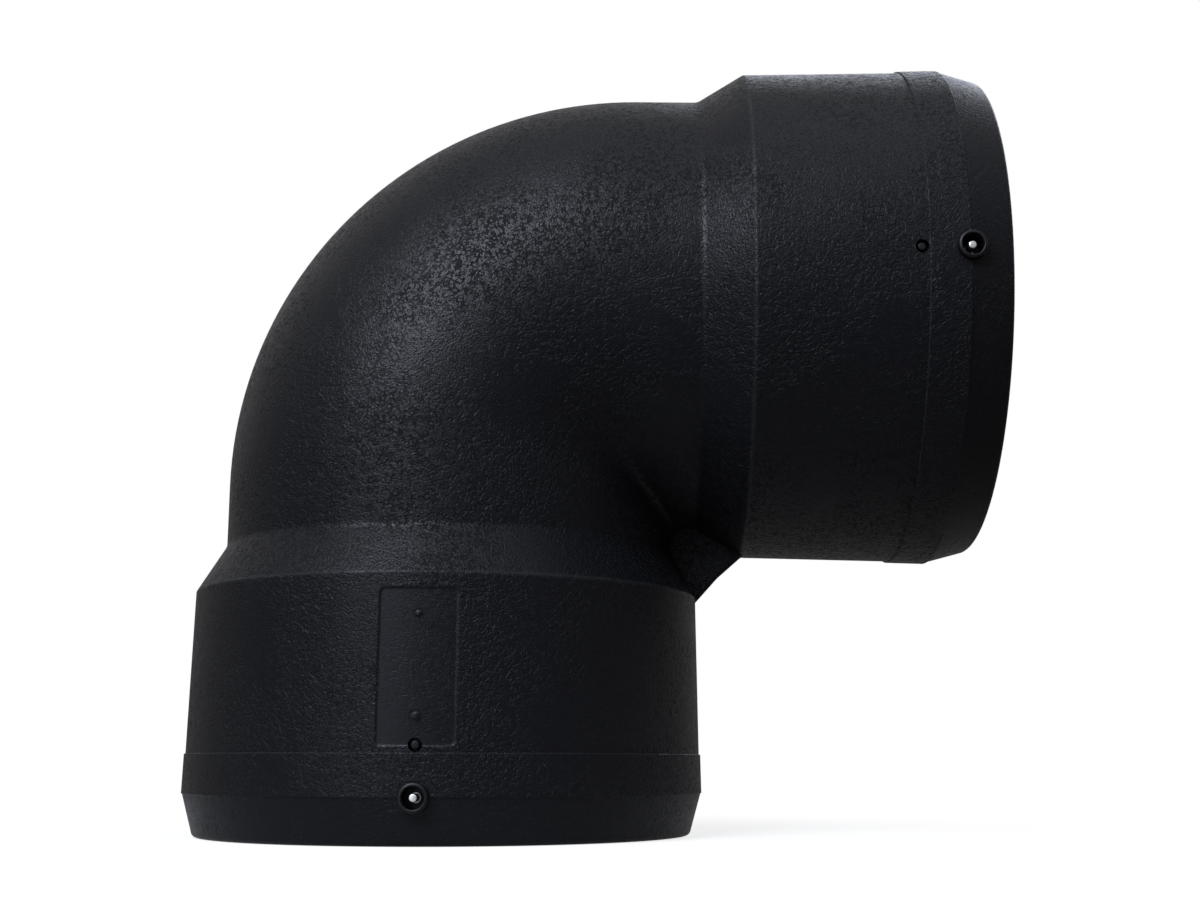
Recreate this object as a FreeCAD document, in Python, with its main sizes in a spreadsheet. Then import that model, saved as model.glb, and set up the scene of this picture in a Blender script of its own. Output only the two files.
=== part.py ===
import FreeCAD, Part
import os
import re

import Sketcher

# Electrofusion elbow, 90 degrees, for a pipe of 225 mm outside diameter.
# Frame: the origin is the centre of the lower socket's mouth, on which the elbow stands. +Z runs up the
# lower socket's axis. The side socket's axis lies at z = axis_height and its mouth faces +X. The terminals
# and the marking field face -Y. "Depth" is always measured into a socket from its mouth face.

DRIVING_SIZES = [
    # Pipe and socket bores
    ("pipe_radius", 112.5, "outside radius of the pipe that is welded in"),
    ("bore_play", 0.8, "gap between the pipe and the socket's wall"),
    ("socket_depth", 118.0, "depth at which the pipe meets its stop"),
    ("lead_in", 1.0, "chamfer at the bore's mouth"),
    # Outside of a socket, from the mouth inwards
    ("socket_wall", 26.7, "wall of the socket at the band"),
    ("skirt_length", 22.6, "tapered skirt, up to the band"),
    ("skirt_taper", 6.1, "how much the skirt narrows towards the mouth"),
    ("skirt_step", 0.5, "step down from the band to the skirt"),
    ("mouth_round", 3.0, "rounding of the outer mouth edge"),
    ("band_width", 20.7, "raised band"),
    ("band_draft", 0.55, "how much the band narrows over its width"),
    ("band_step", 0.8, "step down from the band to the barrel"),
    ("barrel_length", 85.4, "barrel, up to the shoulder"),
    ("barrel_draft", 1.8, "how much the barrel narrows over its length"),
    ("shoulder_length", 25.0, "cone between the barrel and the leg"),
    ("shoulder_drop", 14.95, "how much the cone narrows"),
    # Legs and bend
    ("leg_length", 34.0, "straight leg between the shoulder and the bend"),
    ("leg_wall", 27.9, "wall of the legs and the bend"),
    ("stop_chamfer", 4.0, "chamfer between the pipe stop and the passage"),
    ("crotch_overlap", 18.9, "how much tighter the bend's centre line is than the leg's outside"),
    # Gusset web in the crotch
    ("web_thickness", 8.0, "web in the middle plane of the elbow"),
    ("web_root", 24.0, "how far the web runs into the walls behind it"),
    ("web_round", 3.0, "rounding along the foot of the web"),
    # Heating coil
    ("coil_start", 34.0, "depth of the coil's first turn"),
    ("coil_turns", 11, "turns of the coil"),
    ("turn_pitch", 6.0, "distance between neighbouring turns"),
    ("wire_thickness", 1.6, "thickness of the coil's wire"),
    ("wire_cover", 0.3, "how far the wire lies below the bore's wall"),
    ("turn_gap", 4.4, "width of the groove between two turns, at the bore's side"),
    ("turn_web", 0.4, "what joins the turns behind that groove"),
    ("lead_play", 0.3, "how much wider than a pin's shank a lead is, on each side"),
    # Terminals
    ("terminal_depth", 22.6, "depth of the terminals' axis"),
    ("shroud_radius", 7.3, "outside radius of the shroud"),
    ("shroud_bore", 5.4, "radius of the well round the pin"),
    ("shroud_rise", 3.2, "how far the shroud stands above the band"),
    ("shroud_round", 0.9, "chamfer of the shroud's rim"),
    ("well_depth", 13.0, "depth of the well from the shroud's rim"),
    ("shroud_floor", 3.0, "thickness of the well's floor"),
    ("pin_radius", 2.0, "free end of the contact pin"),
    ("pin_drop", 2.0, "how far the pin ends below the shroud's rim"),
    ("pin_tip", 0.5, "chamfer at the tip of a pin"),
    ("shank_step", 0.4, "how much thicker the pin's shank is, in the shroud's floor and in the wall"),
    ("foot_step", 0.8, "how much wider than the shank the pin's foot is, under the shroud"),
    ("foot_length", 3.0, "length of the pin's foot"),
    # Fusion indicators
    ("indicator_depth", 47.0, "depth of the indicator's axis"),
    ("indicator_radius", 2.0, "radius of the indicator pin"),
    ("indicator_length", 17.0, "length of the indicator pin"),
    ("indicator_drop", 0.8, "how far the indicator ends below the barrel"),
    ("indicator_gap", 1.4, "open ring round the indicator's end"),
    ("indicator_well_depth", 5.0, "depth of that ring"),
    # Marking field on the lower socket
    ("field_start", 46.2, "depth where the marking field starts"),
    ("field_length", 75.0, "length of the marking field"),
    ("field_angle", 15.8, "arc of the marking field, in degrees"),
    ("field_recess", 0.4, "how deep the field lies in the barrel"),
    ("imprint_near", 60.2, "depth of the imprint nearer to the mouth"),
    ("imprint_near_radius", 3.2, "outer radius of the nearer imprint"),
    ("imprint_far", 108.5, "depth of the imprint further in"),
    ("imprint_far_radius", 2.5, "outer radius of the further imprint"),
    ("imprint_width", 0.9, "width of each imprint's ring"),
    ("imprint_recess", 0.5, "how deep the rings lie in the field"),
]

DERIVED_SIZES = [
    # Radii of a socket, from its bore outwards
    ("bore", "pipe_radius + bore_play"),
    ("band_radius", "bore + socket_wall"),
    ("skirt_radius", "band_radius - skirt_step"),
    ("mouth_radius", "skirt_radius - skirt_taper"),
    ("band_end_radius", "band_radius - band_draft"),
    ("barrel_radius", "band_end_radius - band_step"),
    ("shoulder_radius", "barrel_radius - barrel_draft"),
    ("leg_radius", "shoulder_radius - shoulder_drop"),
    ("leg_bore", "leg_radius - leg_wall"),
    # Depths in a socket, from its mouth inwards
    ("band_end", "skirt_length + band_width"),
    ("shoulder_start", "band_end + barrel_length"),
    ("shoulder_end", "shoulder_start + shoulder_length"),
    ("leg_end", "shoulder_end + leg_length"),
    ("bend_radius", "leg_radius - crotch_overlap"),
    ("axis_height", "leg_end + bend_radius"),
    # Tip and heel of the web, where it meets the side socket
    ("web_tip", "axis_height - shoulder_start"),
    ("web_heel", "axis_height - shoulder_radius"),
    # Coil and leads
    ("wire_inner", "bore + wire_cover"),
    ("wire_outer", "wire_inner + wire_thickness"),
    ("coil_end", "coil_start + coil_turns * turn_pitch"),
    ("lead_inner", "wire_inner + wire_thickness / 4"),
    ("lead_outer", "wire_outer - wire_thickness / 4"),
    # Terminals, measured outwards from the socket's axis
    ("rim_radius", "band_radius + shroud_rise"),
    ("well_floor", "rim_radius - well_depth"),
    ("shroud_seat", "well_floor - shroud_floor"),
    ("foot_end", "shroud_seat - foot_length"),
    ("pin_end", "rim_radius - pin_drop"),
    ("shank_radius", "pin_radius + shank_step"),
    ("foot_radius", "shank_radius + foot_step"),
    ("lead_reach", "shank_radius + lead_play"),
    # Indicator and marking field, measured outwards from the tapered barrel's axis
    ("barrel_slope", "barrel_draft / barrel_length"),
    ("indicator_surface", "barrel_radius - (indicator_depth - band_end) * barrel_slope"),
    ("indicator_end", "indicator_surface - indicator_drop"),
    ("indicator_base", "indicator_end - indicator_length"),
    ("indicator_well", "indicator_radius + indicator_gap"),
    ("indicator_well_floor", "indicator_surface - indicator_well_depth"),
    ("field_end", "field_start + field_length"),
    ("field_floor", "barrel_radius - field_recess"),
    ("field_start_radius", "field_floor - (field_start - band_end) * barrel_slope"),
    ("field_end_radius", "field_floor - (field_end - band_end) * barrel_slope"),
    ("imprint_near_surface", "field_floor - (imprint_near - band_end) * barrel_slope"),
    ("imprint_far_surface", "field_floor - (imprint_far - band_end) * barrel_slope"),
]

TURN = 360
QUARTER = 90
NEAR = 0.01
DRIVING = [alias for alias, value, note in DRIVING_SIZES]
DERIVED = [alias for alias, text in DERIVED_SIZES]
WORD = r"\b[a-z_]+\b"


def in_sheet(text, sheet_name, aliases):
    """The text with the sheet's name put before each of its aliases."""
    return re.sub(WORD, lambda word: sheet_name * (word.group() in aliases) + word.group(), text)


def formula(text):
    """A document expression from a formula of aliases."""
    return in_sheet(in_sheet(text, "sizes.", DRIVING), "derived.", DERIVED)


doc = FreeCAD.newDocument("electrofusion_elbow")
sizes = doc.addObject("Spreadsheet::Sheet", "sizes")
for row, (alias, value, note) in enumerate(DRIVING_SIZES, start=1):
    sizes.set(f"A{row}", alias)
    sizes.set(f"B{row}", str(value))
    sizes.set(f"C{row}", note)
    sizes.setAlias(f"B{row}", alias)
derived = doc.addObject("Spreadsheet::Sheet", "derived")
for row, (alias, text) in enumerate(DERIVED_SIZES, start=1):
    derived.set(f"A{row}", alias)
    derived.set(f"B{row}", "=" + in_sheet(text, "sizes.", DRIVING))
    derived.setAlias(f"B{row}", alias)
doc.recompute()


def size(alias):
    """A size as a number."""
    return float((sizes if alias in DRIVING else derived).get(alias))


def new_body(label):
    """An empty body whose label names its file."""
    body = doc.addObject("PartDesign::Body", label)
    body.Label = label
    return body


def origin_plane(body, role):
    return next(feature for feature in body.Origin.OriginFeatures if feature.Role == role)


def new_sketch(body, name, role, offset=None):
    """A sketch on one of the body's own origin planes, moved along its normal by the offset formula."""
    sketch = body.newObject("Sketcher::SketchObject", name)
    sketch.AttachmentSupport = [(origin_plane(body, role), "")]
    sketch.MapMode = "FlatFace"
    if offset:
        sketch.setExpression("AttachmentOffset.Base.z", formula(offset))
    doc.recompute()
    return sketch


def tie(sketch, kind, geometry, point, text):
    """A distance from the sketch's origin to a point, bound to a formula."""
    index = sketch.addConstraint(Sketcher.Constraint(kind, -1, 1, geometry, point, 1.0))
    sketch.setExpression(f"Constraints[{index}]", formula(text))


def outline(sketch, corners, rounds=None):
    """A closed outline of straight lines whose corners are given as pairs of formulas. A corner whose
    number is in rounds gets an arc with that size as its radius."""
    first = sketch.GeometryCount
    count = len(corners)
    spots = [FreeCAD.Vector(i, i * i, 0) for i in range(count)]
    for i in range(count):
        sketch.addGeometry(Part.LineSegment(spots[i], spots[(i + 1) % count]), False)
    for i in range(count):
        sketch.addConstraint(Sketcher.Constraint("Coincident", first + i, 2, first + (i + 1) % count, 1))
    for i, (across, up) in enumerate(corners):
        tie(sketch, "DistanceX", first + i, 1, across)
        tie(sketch, "DistanceY", first + i, 1, up)
    doc.recompute()
    for corner, radius in (rounds or {}).items():
        arc = sketch.GeometryCount
        sketch.fillet(first + corner, 1, size(radius), True, True)
        bound = sketch.addConstraint(Sketcher.Constraint("Radius", arc, size(radius)))
        sketch.setExpression(f"Constraints[{bound}]", formula(radius))


def axis_line(sketch, start, end):
    """A construction line for a revolution, between two pairs of formulas."""
    line = Part.LineSegment(FreeCAD.Vector(1, 2, 0), FreeCAD.Vector(3, 5, 0))
    index = sketch.addGeometry(line, True)
    for point, (across, up) in enumerate((start, end), start=1):
        tie(sketch, "DistanceX", index, point, across)
        tie(sketch, "DistanceY", index, point, up)


def circle(sketch, across, up, radius):
    """A circle whose centre and radius are formulas."""
    index = sketch.addGeometry(Part.Circle(FreeCAD.Vector(1, 1, 0), FreeCAD.Vector(0, 0, 1), 1), False)
    tie(sketch, "DistanceX", index, 3, across)
    tie(sketch, "DistanceY", index, 3, up)
    bound = sketch.addConstraint(Sketcher.Constraint("Radius", index, 1.0))
    sketch.setExpression(f"Constraints[{bound}]", formula(radius))


def revolve(body, kind, name, sketch, axis, angle=TURN, reverse=False, midplane=False):
    """A revolution or groove of a sketch about one of its axes."""
    feature = body.newObject(kind, name)
    feature.Profile = sketch
    feature.ReferenceAxis = (sketch, [axis])
    feature.Angle = angle
    feature.Reversed = reverse
    feature.Midplane = midplane
    doc.recompute()
    return feature


def mirror(body, name, plane, originals):
    """The originals mirrored in a plane; the mirror becomes the body's tip."""
    feature = body.newObject("PartDesign::Mirrored", name)
    feature.Originals = originals
    feature.MirrorPlane = (plane, [""])
    body.Tip = feature
    doc.recompute()
    return feature


def mitre_plane(body):
    """The plane at 45 degrees in which the side socket mirrors the lower one."""
    plane = body.newObject("PartDesign::Plane", "mitre_plane")
    plane.setExpression("Placement.Base.x", formula("axis_height / 2"))
    plane.setExpression("Placement.Base.z", formula("axis_height / 2"))
    plane.Placement.Rotation = FreeCAD.Rotation(FreeCAD.Vector(0, 1, 0), QUARTER / 2)
    doc.recompute()
    return plane


def edges_near(shape, wanted):
    """Names of the shape's edges for which the test holds."""
    return [f"Edge{i}" for i, edge in enumerate(shape.Edges, start=1) if wanted(edge)]


def rounding(body, name, text, wanted):
    """A fillet of the edges for which the test holds."""
    base = body.Tip
    fillet = body.newObject("PartDesign::Fillet", name)
    fillet.Base = (base, edges_near(base.Shape, wanted))
    fillet.setExpression("Radius", formula(text))
    doc.recompute()
    return fillet


def bend_section(body, name, radius):
    """Section of the bend where it leaves the lower leg: a whole circle, or the part of it that lies
    outside the bend's centre where the section is larger than the bend's own radius."""
    sketch = new_sketch(body, name, "XY_Plane", "leg_end")
    section = size(radius)
    centre = size("bend_radius")
    if section < centre:
        circle(sketch, "0", "0", radius)
    else:
        half = (section**2 - centre**2) ** 0.5
        top = FreeCAD.Vector(centre, half, 0)
        bottom = FreeCAD.Vector(centre, -half, 0)
        arc = sketch.addGeometry(Part.Arc(top, FreeCAD.Vector(-section, 0, 0), bottom), False)
        chord = sketch.addGeometry(Part.LineSegment(bottom, top), False)
        sketch.addConstraint(Sketcher.Constraint("Coincident", arc, 3, -1, 1))
        sketch.addConstraint(Sketcher.Constraint("Coincident", arc, 2, chord, 1))
        sketch.addConstraint(Sketcher.Constraint("Coincident", arc, 1, chord, 2))
        sketch.addConstraint(Sketcher.Constraint("Vertical", chord))
        bound = sketch.addConstraint(Sketcher.Constraint("Radius", arc, section))
        sketch.setExpression(f"Constraints[{bound}]", formula(radius))
        tie(sketch, "DistanceX", chord, 1, "bend_radius")
    axis_line(sketch, ("bend_radius", "0"), ("bend_radius", "leg_radius"))
    doc.recompute()
    return sketch


def elbow_outside(body, plane):
    """Both sockets with their legs, the bend between them and the web in the crotch."""
    sketch = new_sketch(body, "socket_outline", "XZ_Plane")
    outline(sketch, [
        ("0", "0"),
        ("mouth_radius", "0"),
        ("skirt_radius", "skirt_length"),
        ("band_radius", "skirt_length"),
        ("band_end_radius", "band_end"),
        ("barrel_radius", "band_end"),
        ("shoulder_radius", "shoulder_start"),
        ("leg_radius", "shoulder_end"),
        ("leg_radius", "leg_end"),
        ("0", "leg_end"),
    ], rounds={1: "mouth_round"})
    socket = revolve(body, "PartDesign::Revolution", "lower_socket", sketch, "V_Axis")
    mirror(body, "side_socket", plane, [socket])

    section = bend_section(body, "bend_section", "leg_radius")
    revolve(body, "PartDesign::Revolution", "bend", section, "Axis0", QUARTER)

    sketch = new_sketch(body, "web_outline", "XZ_Plane")
    outline(sketch, [
        ("shoulder_radius", "shoulder_start"),
        ("web_tip", "web_heel"),
        ("web_tip", "web_heel + web_root"),
        ("shoulder_radius - web_root", "web_heel + web_root"),
        ("shoulder_radius - web_root", "shoulder_start"),
    ])
    web = body.newObject("PartDesign::Pad", "web")
    web.Profile = sketch
    web.setExpression("Length", formula("web_thickness"))
    web.Midplane = True
    doc.recompute()
    half = size("web_thickness") / 2
    rounding(body, "web_rounding", "web_round", lambda edge: is_web_foot(edge, half))


def is_web_foot(edge, half):
    """True for the edges where a side of the web meets the shoulders and the legs."""
    box = edge.BoundBox
    on_side = box.YLength < NEAR and abs(abs(box.Center.y) - half) < NEAR
    slanted = abs(box.XLength - box.ZLength) < NEAR
    return on_side and edge.Length > size("web_round") and not slanted


def elbow_inside(body, plane):
    """Socket bores with their pipe stops, the recess of each coil, and the flow passage."""
    sketch = new_sketch(body, "bore_outline", "XZ_Plane")
    outline(sketch, [
        ("0", "0"),
        ("bore + lead_in", "0"),
        ("bore", "lead_in"),
        ("bore", "socket_depth"),
        ("leg_bore + stop_chamfer", "socket_depth"),
        ("leg_bore", "socket_depth + stop_chamfer"),
        ("leg_bore", "leg_end"),
        ("0", "leg_end"),
    ])
    bore = revolve(body, "PartDesign::Groove", "lower_bore", sketch, "V_Axis")

    sketch = new_sketch(body, "recess_outline", "XZ_Plane")
    outline(sketch, [
        ("bore - lead_in", "coil_start"),
        ("wire_outer", "coil_start"),
        ("wire_outer", "coil_end"),
        ("bore - lead_in", "coil_end"),
    ])
    recess = revolve(body, "PartDesign::Groove", "lower_recess", sketch, "V_Axis")
    mirror(body, "side_bore", plane, [bore, recess])

    section = bend_section(body, "passage_section", "leg_bore")
    revolve(body, "PartDesign::Groove", "bend_passage", section, "Axis0", QUARTER)


def elbow_terminal_seats(body, plane):
    """Stepped seats of the terminals at the front and back, the lead slots in the bore, and the
    indicator's well and hole at the front."""
    sketch = new_sketch(body, "seat_outline", "YZ_Plane")
    for side in ("-", ""):
        outline(sketch, [
            (f"{side}rim_radius", "terminal_depth"),
            (f"{side}rim_radius", "terminal_depth + shroud_radius"),
            (f"{side}shroud_seat", "terminal_depth + shroud_radius"),
            (f"{side}shroud_seat", "terminal_depth + foot_radius"),
            (f"{side}foot_end", "terminal_depth + foot_radius"),
            (f"{side}foot_end", "terminal_depth + shank_radius"),
            (f"{side}lead_inner", "terminal_depth + shank_radius"),
            (f"{side}lead_inner", "terminal_depth"),
        ])
    axis_line(sketch, ("0", "terminal_depth"), ("rim_radius", "terminal_depth"))
    seats = revolve(body, "PartDesign::Groove", "lower_seats", sketch, "Axis0")

    sketch = new_sketch(body, "lead_outline", "XZ_Plane")
    outline(sketch, [
        ("-lead_reach", "terminal_depth - lead_reach"),
        ("lead_reach", "terminal_depth - lead_reach"),
        ("lead_reach", "coil_start"),
        ("-lead_reach", "coil_start"),
    ])
    slots = body.newObject("PartDesign::Pocket", "lower_lead_slots")
    slots.Profile = sketch
    slots.setExpression("Length", formula("2 * lead_outer"))
    slots.Midplane = True
    doc.recompute()

    sketch = new_sketch(body, "indicator_outline", "YZ_Plane")
    outline(sketch, [
        ("-band_radius", "indicator_depth"),
        ("-band_radius", "indicator_depth + indicator_well"),
        ("-indicator_well_floor", "indicator_depth + indicator_well"),
        ("-indicator_well_floor", "indicator_depth + indicator_radius"),
        ("-indicator_base", "indicator_depth + indicator_radius"),
        ("-indicator_base", "indicator_depth"),
    ])
    axis_line(sketch, ("0", "indicator_depth"), ("-band_radius", "indicator_depth"))
    well = revolve(body, "PartDesign::Groove", "lower_indicator_well", sketch, "Axis0")
    mirror(body, "side_seats", plane, [seats, slots, well])


def elbow_marking_field(body):
    """The shallow marking field on the lower socket's front, with the ring imprints of two fixings."""
    sketch = new_sketch(body, "field_outline", "YZ_Plane")
    outline(sketch, [
        ("-field_start_radius", "field_start"),
        ("-band_radius", "field_start"),
        ("-band_radius", "field_end"),
        ("-field_end_radius", "field_end"),
    ])
    field = revolve(body, "PartDesign::Groove", "marking_field", sketch, "V_Axis", midplane=True)
    field.setExpression("Angle", formula("field_angle"))
    doc.recompute()

    for name in ("imprint_near", "imprint_far"):
        sketch = new_sketch(body, f"{name}_outline", "XZ_Plane", f"{name}_surface - imprint_recess")
        circle(sketch, "0", name, f"{name}_radius")
        circle(sketch, "0", name, f"{name}_radius - imprint_width")
        ring = body.newObject("PartDesign::Pocket", name)
        ring.Profile = sketch
        ring.setExpression("Length", formula("band_radius - band_draft"))
        ring.Reversed = True
        doc.recompute()


def make_elbow():
    body = new_body("elbow_body")
    plane = mitre_plane(body)
    elbow_outside(body, plane)
    elbow_inside(body, plane)
    elbow_terminal_seats(body, plane)
    elbow_marking_field(body)
    return body


def make_coil(label):
    """One heating coil: its turns as ribs of one thin sleeve, with a lead to each terminal. Its own axis
    is the socket's, with z measured into the socket from the mouth."""
    body = new_body(label)
    sketch = new_sketch(body, f"{label}_turns_outline", "XZ_Plane")
    outline(sketch, [
        ("wire_inner", "coil_start"),
        ("wire_outer", "coil_start"),
        ("wire_outer", "coil_end"),
        ("wire_inner", "coil_end"),
    ])
    revolve(body, "PartDesign::Revolution", f"{label}_sleeve", sketch, "V_Axis")

    sketch = new_sketch(body, f"{label}_gap_outline", "XZ_Plane")
    outline(sketch, [
        ("wire_inner - wire_thickness / 2", "coil_start + turn_pitch - turn_gap / 2"),
        ("wire_outer - turn_web", "coil_start + turn_pitch"),
        ("wire_inner - wire_thickness / 2", "coil_start + turn_pitch + turn_gap / 2"),
    ])
    gap = revolve(body, "PartDesign::Groove", f"{label}_gap", sketch, "V_Axis")
    turns = body.newObject("PartDesign::LinearPattern", f"{label}_turns")
    turns.Originals = [gap]
    turns.Direction = (sketch, ["V_Axis"])
    turns.Occurrences = round(size("coil_turns")) - 1
    turns.setExpression("Length", formula("(coil_turns - 2) * turn_pitch"))
    body.Tip = turns
    doc.recompute()

    for end, side in (("front", "-"), ("back", "")):
        sketch = new_sketch(body, f"{label}_{end}_outline", "YZ_Plane")
        outline(sketch, [
            (f"{side}lead_inner", "terminal_depth - lead_reach"),
            (f"{side}lead_outer", "terminal_depth - lead_reach"),
            (f"{side}lead_outer", "coil_start + wire_thickness / 2"),
            (f"{side}lead_inner", "coil_start + wire_thickness / 2"),
        ])
        lead = body.newObject("PartDesign::Pad", f"{label}_{end}_lead")
        lead.Profile = sketch
        lead.setExpression("Length", formula("2 * lead_reach"))
        lead.Midplane = True
        doc.recompute()
    return body


def turned_piece(label, corners):
    """A piece turned about its own z axis, with z measured outwards from the socket's axis."""
    body = new_body(label)
    sketch = new_sketch(body, f"{label}_outline", "XZ_Plane")
    outline(sketch, corners)
    revolve(body, "PartDesign::Revolution", f"{label}_turned", sketch, "V_Axis")
    return body


def make_shroud(label):
    """Cup round a contact pin, with its floor on the seat in the wall."""
    return turned_piece(label, [
        ("shank_radius", "shroud_seat"),
        ("shroud_radius", "shroud_seat"),
        ("shroud_radius", "rim_radius - shroud_round"),
        ("shroud_radius - shroud_round", "rim_radius"),
        ("shroud_bore", "rim_radius"),
        ("shroud_bore", "well_floor"),
        ("shank_radius", "well_floor"),
    ])


def make_pin(label):
    """Contact pin: its foot lies under the shroud and its inner end meets the coil's lead."""
    return turned_piece(label, [
        ("0", "lead_outer"),
        ("shank_radius", "lead_outer"),
        ("shank_radius", "foot_end"),
        ("foot_radius", "foot_end"),
        ("foot_radius", "shroud_seat"),
        ("shank_radius", "shroud_seat"),
        ("shank_radius", "well_floor"),
        ("pin_radius", "well_floor"),
        ("pin_radius", "pin_end - pin_tip"),
        ("pin_radius - pin_tip", "pin_end"),
        ("0", "pin_end"),
    ])


def make_indicator(label):
    """Indicator pin that the melt pushes outwards."""
    return turned_piece(label, [
        ("0", "indicator_base"),
        ("indicator_radius", "indicator_base"),
        ("indicator_radius", "indicator_end - pin_tip"),
        ("indicator_radius - pin_tip", "indicator_end"),
        ("0", "indicator_end"),
    ])


def place(body, socket, depth, angle):
    """Turns a piece's z axis outwards to the front (90 degrees) or the back (-90 degrees) and sets it
    on a socket's axis at the given depth."""
    body.Placement.Rotation = FreeCAD.Rotation(FreeCAD.Vector(1, 0, 0), angle)
    if socket == "lower":
        body.setExpression("Placement.Base.z", formula(depth))
    else:
        body.setExpression("Placement.Base.x", formula(f"axis_height - {depth}"))
        body.setExpression("Placement.Base.z", formula("axis_height"))


def make_fittings(socket):
    """Coil, two terminals and indicator of one socket."""
    coil = make_coil(f"{socket}_heating_coil")
    if socket == "side":
        coil.Placement.Rotation = FreeCAD.Rotation(FreeCAD.Vector(0, 1, 0), -QUARTER)
        coil.setExpression("Placement.Base.x", formula("axis_height"))
        coil.setExpression("Placement.Base.z", formula("axis_height"))
    pieces = [coil]
    for end, angle in (("front", QUARTER), ("back", -QUARTER)):
        shroud = make_shroud(f"{socket}_{end}_terminal_shroud")
        pin = make_pin(f"{socket}_{end}_terminal_pin")
        for piece in (shroud, pin):
            place(piece, socket, "terminal_depth", angle)
        pieces += [shroud, pin]
    indicator = make_indicator(f"{socket}_fusion_indicator")
    place(indicator, socket, "indicator_depth", QUARTER)
    return pieces + [indicator]


def check_and_export(pieces):
    """Stops if an object failed or a piece isn't one valid solid, and then writes each piece's file."""
    doc.recompute()
    failed = [item.Label for item in doc.Objects if {"Invalid", "Error"} & set(item.State)]
    if failed:
        raise RuntimeError(f"these objects failed: {failed}")
    for piece in pieces:
        if piece.Shape.isNull() or not piece.Shape.isValid() or len(piece.Shape.Solids) != 1:
            raise RuntimeError(f"{piece.Label} isn't one valid solid")
    os.makedirs("parts", exist_ok=True)
    for piece in pieces:
        piece.Shape.exportStep(f"parts/{piece.Label}.step")
        print(piece.Label, round(piece.Shape.Volume), "mm3")


elbow_pieces = [make_elbow()]
for socket_name in ("lower", "side"):
    elbow_pieces += make_fittings(socket_name)
check_and_export(elbow_pieces)
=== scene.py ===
"""Looks of a black polyethylene electrofusion elbow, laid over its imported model.

The elbow stands on its lower socket, whose axis is Z; the side socket's axis is parallel to X. The two
sockets are alike and mirrored in the mitre plane, where x + z is the height of the side socket's axis.
Lengths are metres, and each piece's place is in its mesh.
"""
import math

import bmesh
import bpy
import numpy as np
from mathutils import Matrix, Vector


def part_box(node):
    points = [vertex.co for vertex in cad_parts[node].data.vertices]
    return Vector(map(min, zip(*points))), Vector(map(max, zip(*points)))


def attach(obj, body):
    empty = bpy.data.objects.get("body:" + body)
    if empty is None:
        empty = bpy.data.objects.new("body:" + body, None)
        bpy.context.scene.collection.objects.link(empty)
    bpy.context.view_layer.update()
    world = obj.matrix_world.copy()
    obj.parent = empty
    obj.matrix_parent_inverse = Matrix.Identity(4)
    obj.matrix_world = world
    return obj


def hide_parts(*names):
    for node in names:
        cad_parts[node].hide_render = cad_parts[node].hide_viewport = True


bl_info = {
    "name": "Electrofusion elbow",
    "version": (1, 0, 0),
    "blender": (4, 5, 0),
    "location": "3D View > Sidebar > Elbow",
    "description": "Makes the dressed pieces of an electrofusion elbow and a plain studio round it",
    "category": "Object",
}

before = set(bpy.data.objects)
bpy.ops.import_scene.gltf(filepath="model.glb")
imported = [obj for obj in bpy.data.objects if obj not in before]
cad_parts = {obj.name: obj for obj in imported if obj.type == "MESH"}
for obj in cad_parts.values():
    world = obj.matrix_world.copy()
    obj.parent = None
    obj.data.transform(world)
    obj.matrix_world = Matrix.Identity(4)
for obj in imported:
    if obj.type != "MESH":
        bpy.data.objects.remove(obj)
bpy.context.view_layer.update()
AXIS_HEIGHT = sum(corner.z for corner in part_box("side_front_terminal_pin")) / 2
TERMINAL_DEPTH = sum(corner.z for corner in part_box("lower_front_terminal_pin")) / 2
INDICATOR_DEPTH = sum(corner.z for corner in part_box("lower_fusion_indicator")) / 2
SOCKETS = ("lower", "side")
TERMINAL_ENDS = {"front": -1, "back": 1}
FULL_TURN = 2 * math.pi
FRONT = -math.pi / 2
FLOOR_DROP = 0.0002  # keeps the floor clear of the mouth that stands on it
SAME_PLACE = 1e-7  # points closer than this are one point
SLIVER = 2e-6  # points closer than this after a cut are the short side of a sliver
PARALLEL_REACH = 0.02  # distance from the middle plane up to which columns follow the web
PARALLEL_FADE = 0.01  # width over which they turn to even angles
CROTCH_REACH = 0.03  # distance from the middle plane up to which the crease is widened
CROTCH_FADE = 0.025  # width over which it narrows again
POLYETHYLENE_IOR = 1.51


def linear(hex_colour):
    """An sRGB hex colour as linear red, green and blue."""
    parts = [int(hex_colour[i:i + 2], 16) / 255 for i in (1, 3, 5)]
    return [part / 12.92 if part <= 0.04045 else ((part + 0.055) / 1.055) ** 2.4 for part in parts]


def length(name, description, millimetres):
    """A property for a length, with its default given in millimetres."""
    return bpy.props.FloatProperty(
        name=name, description=description, default=millimetres / 1000, min=0, precision=5,
        unit="LENGTH", subtype="DISTANCE",
    )


def count(name, description, default):
    """A property for a whole number."""
    return bpy.props.IntProperty(name=name, description=description, default=default, min=1)


def share(name, description, default):
    """A property between 0 and 1."""
    return bpy.props.FloatProperty(
        name=name, description=description, default=default, min=0, max=1, subtype="FACTOR",
    )


def colour(name, description, hex_colour):
    """A property for a colour, with its default given as sRGB hex."""
    return bpy.props.FloatVectorProperty(
        name=name, description=description, default=linear(hex_colour), min=0, max=1, subtype="COLOR",
    )


def power(name, description, watts):
    """A property for a lamp's power."""
    return bpy.props.FloatProperty(
        name=name, description=description, default=watts, min=0, subtype="POWER",
    )


# Sizes and colours that a user would change

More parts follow.
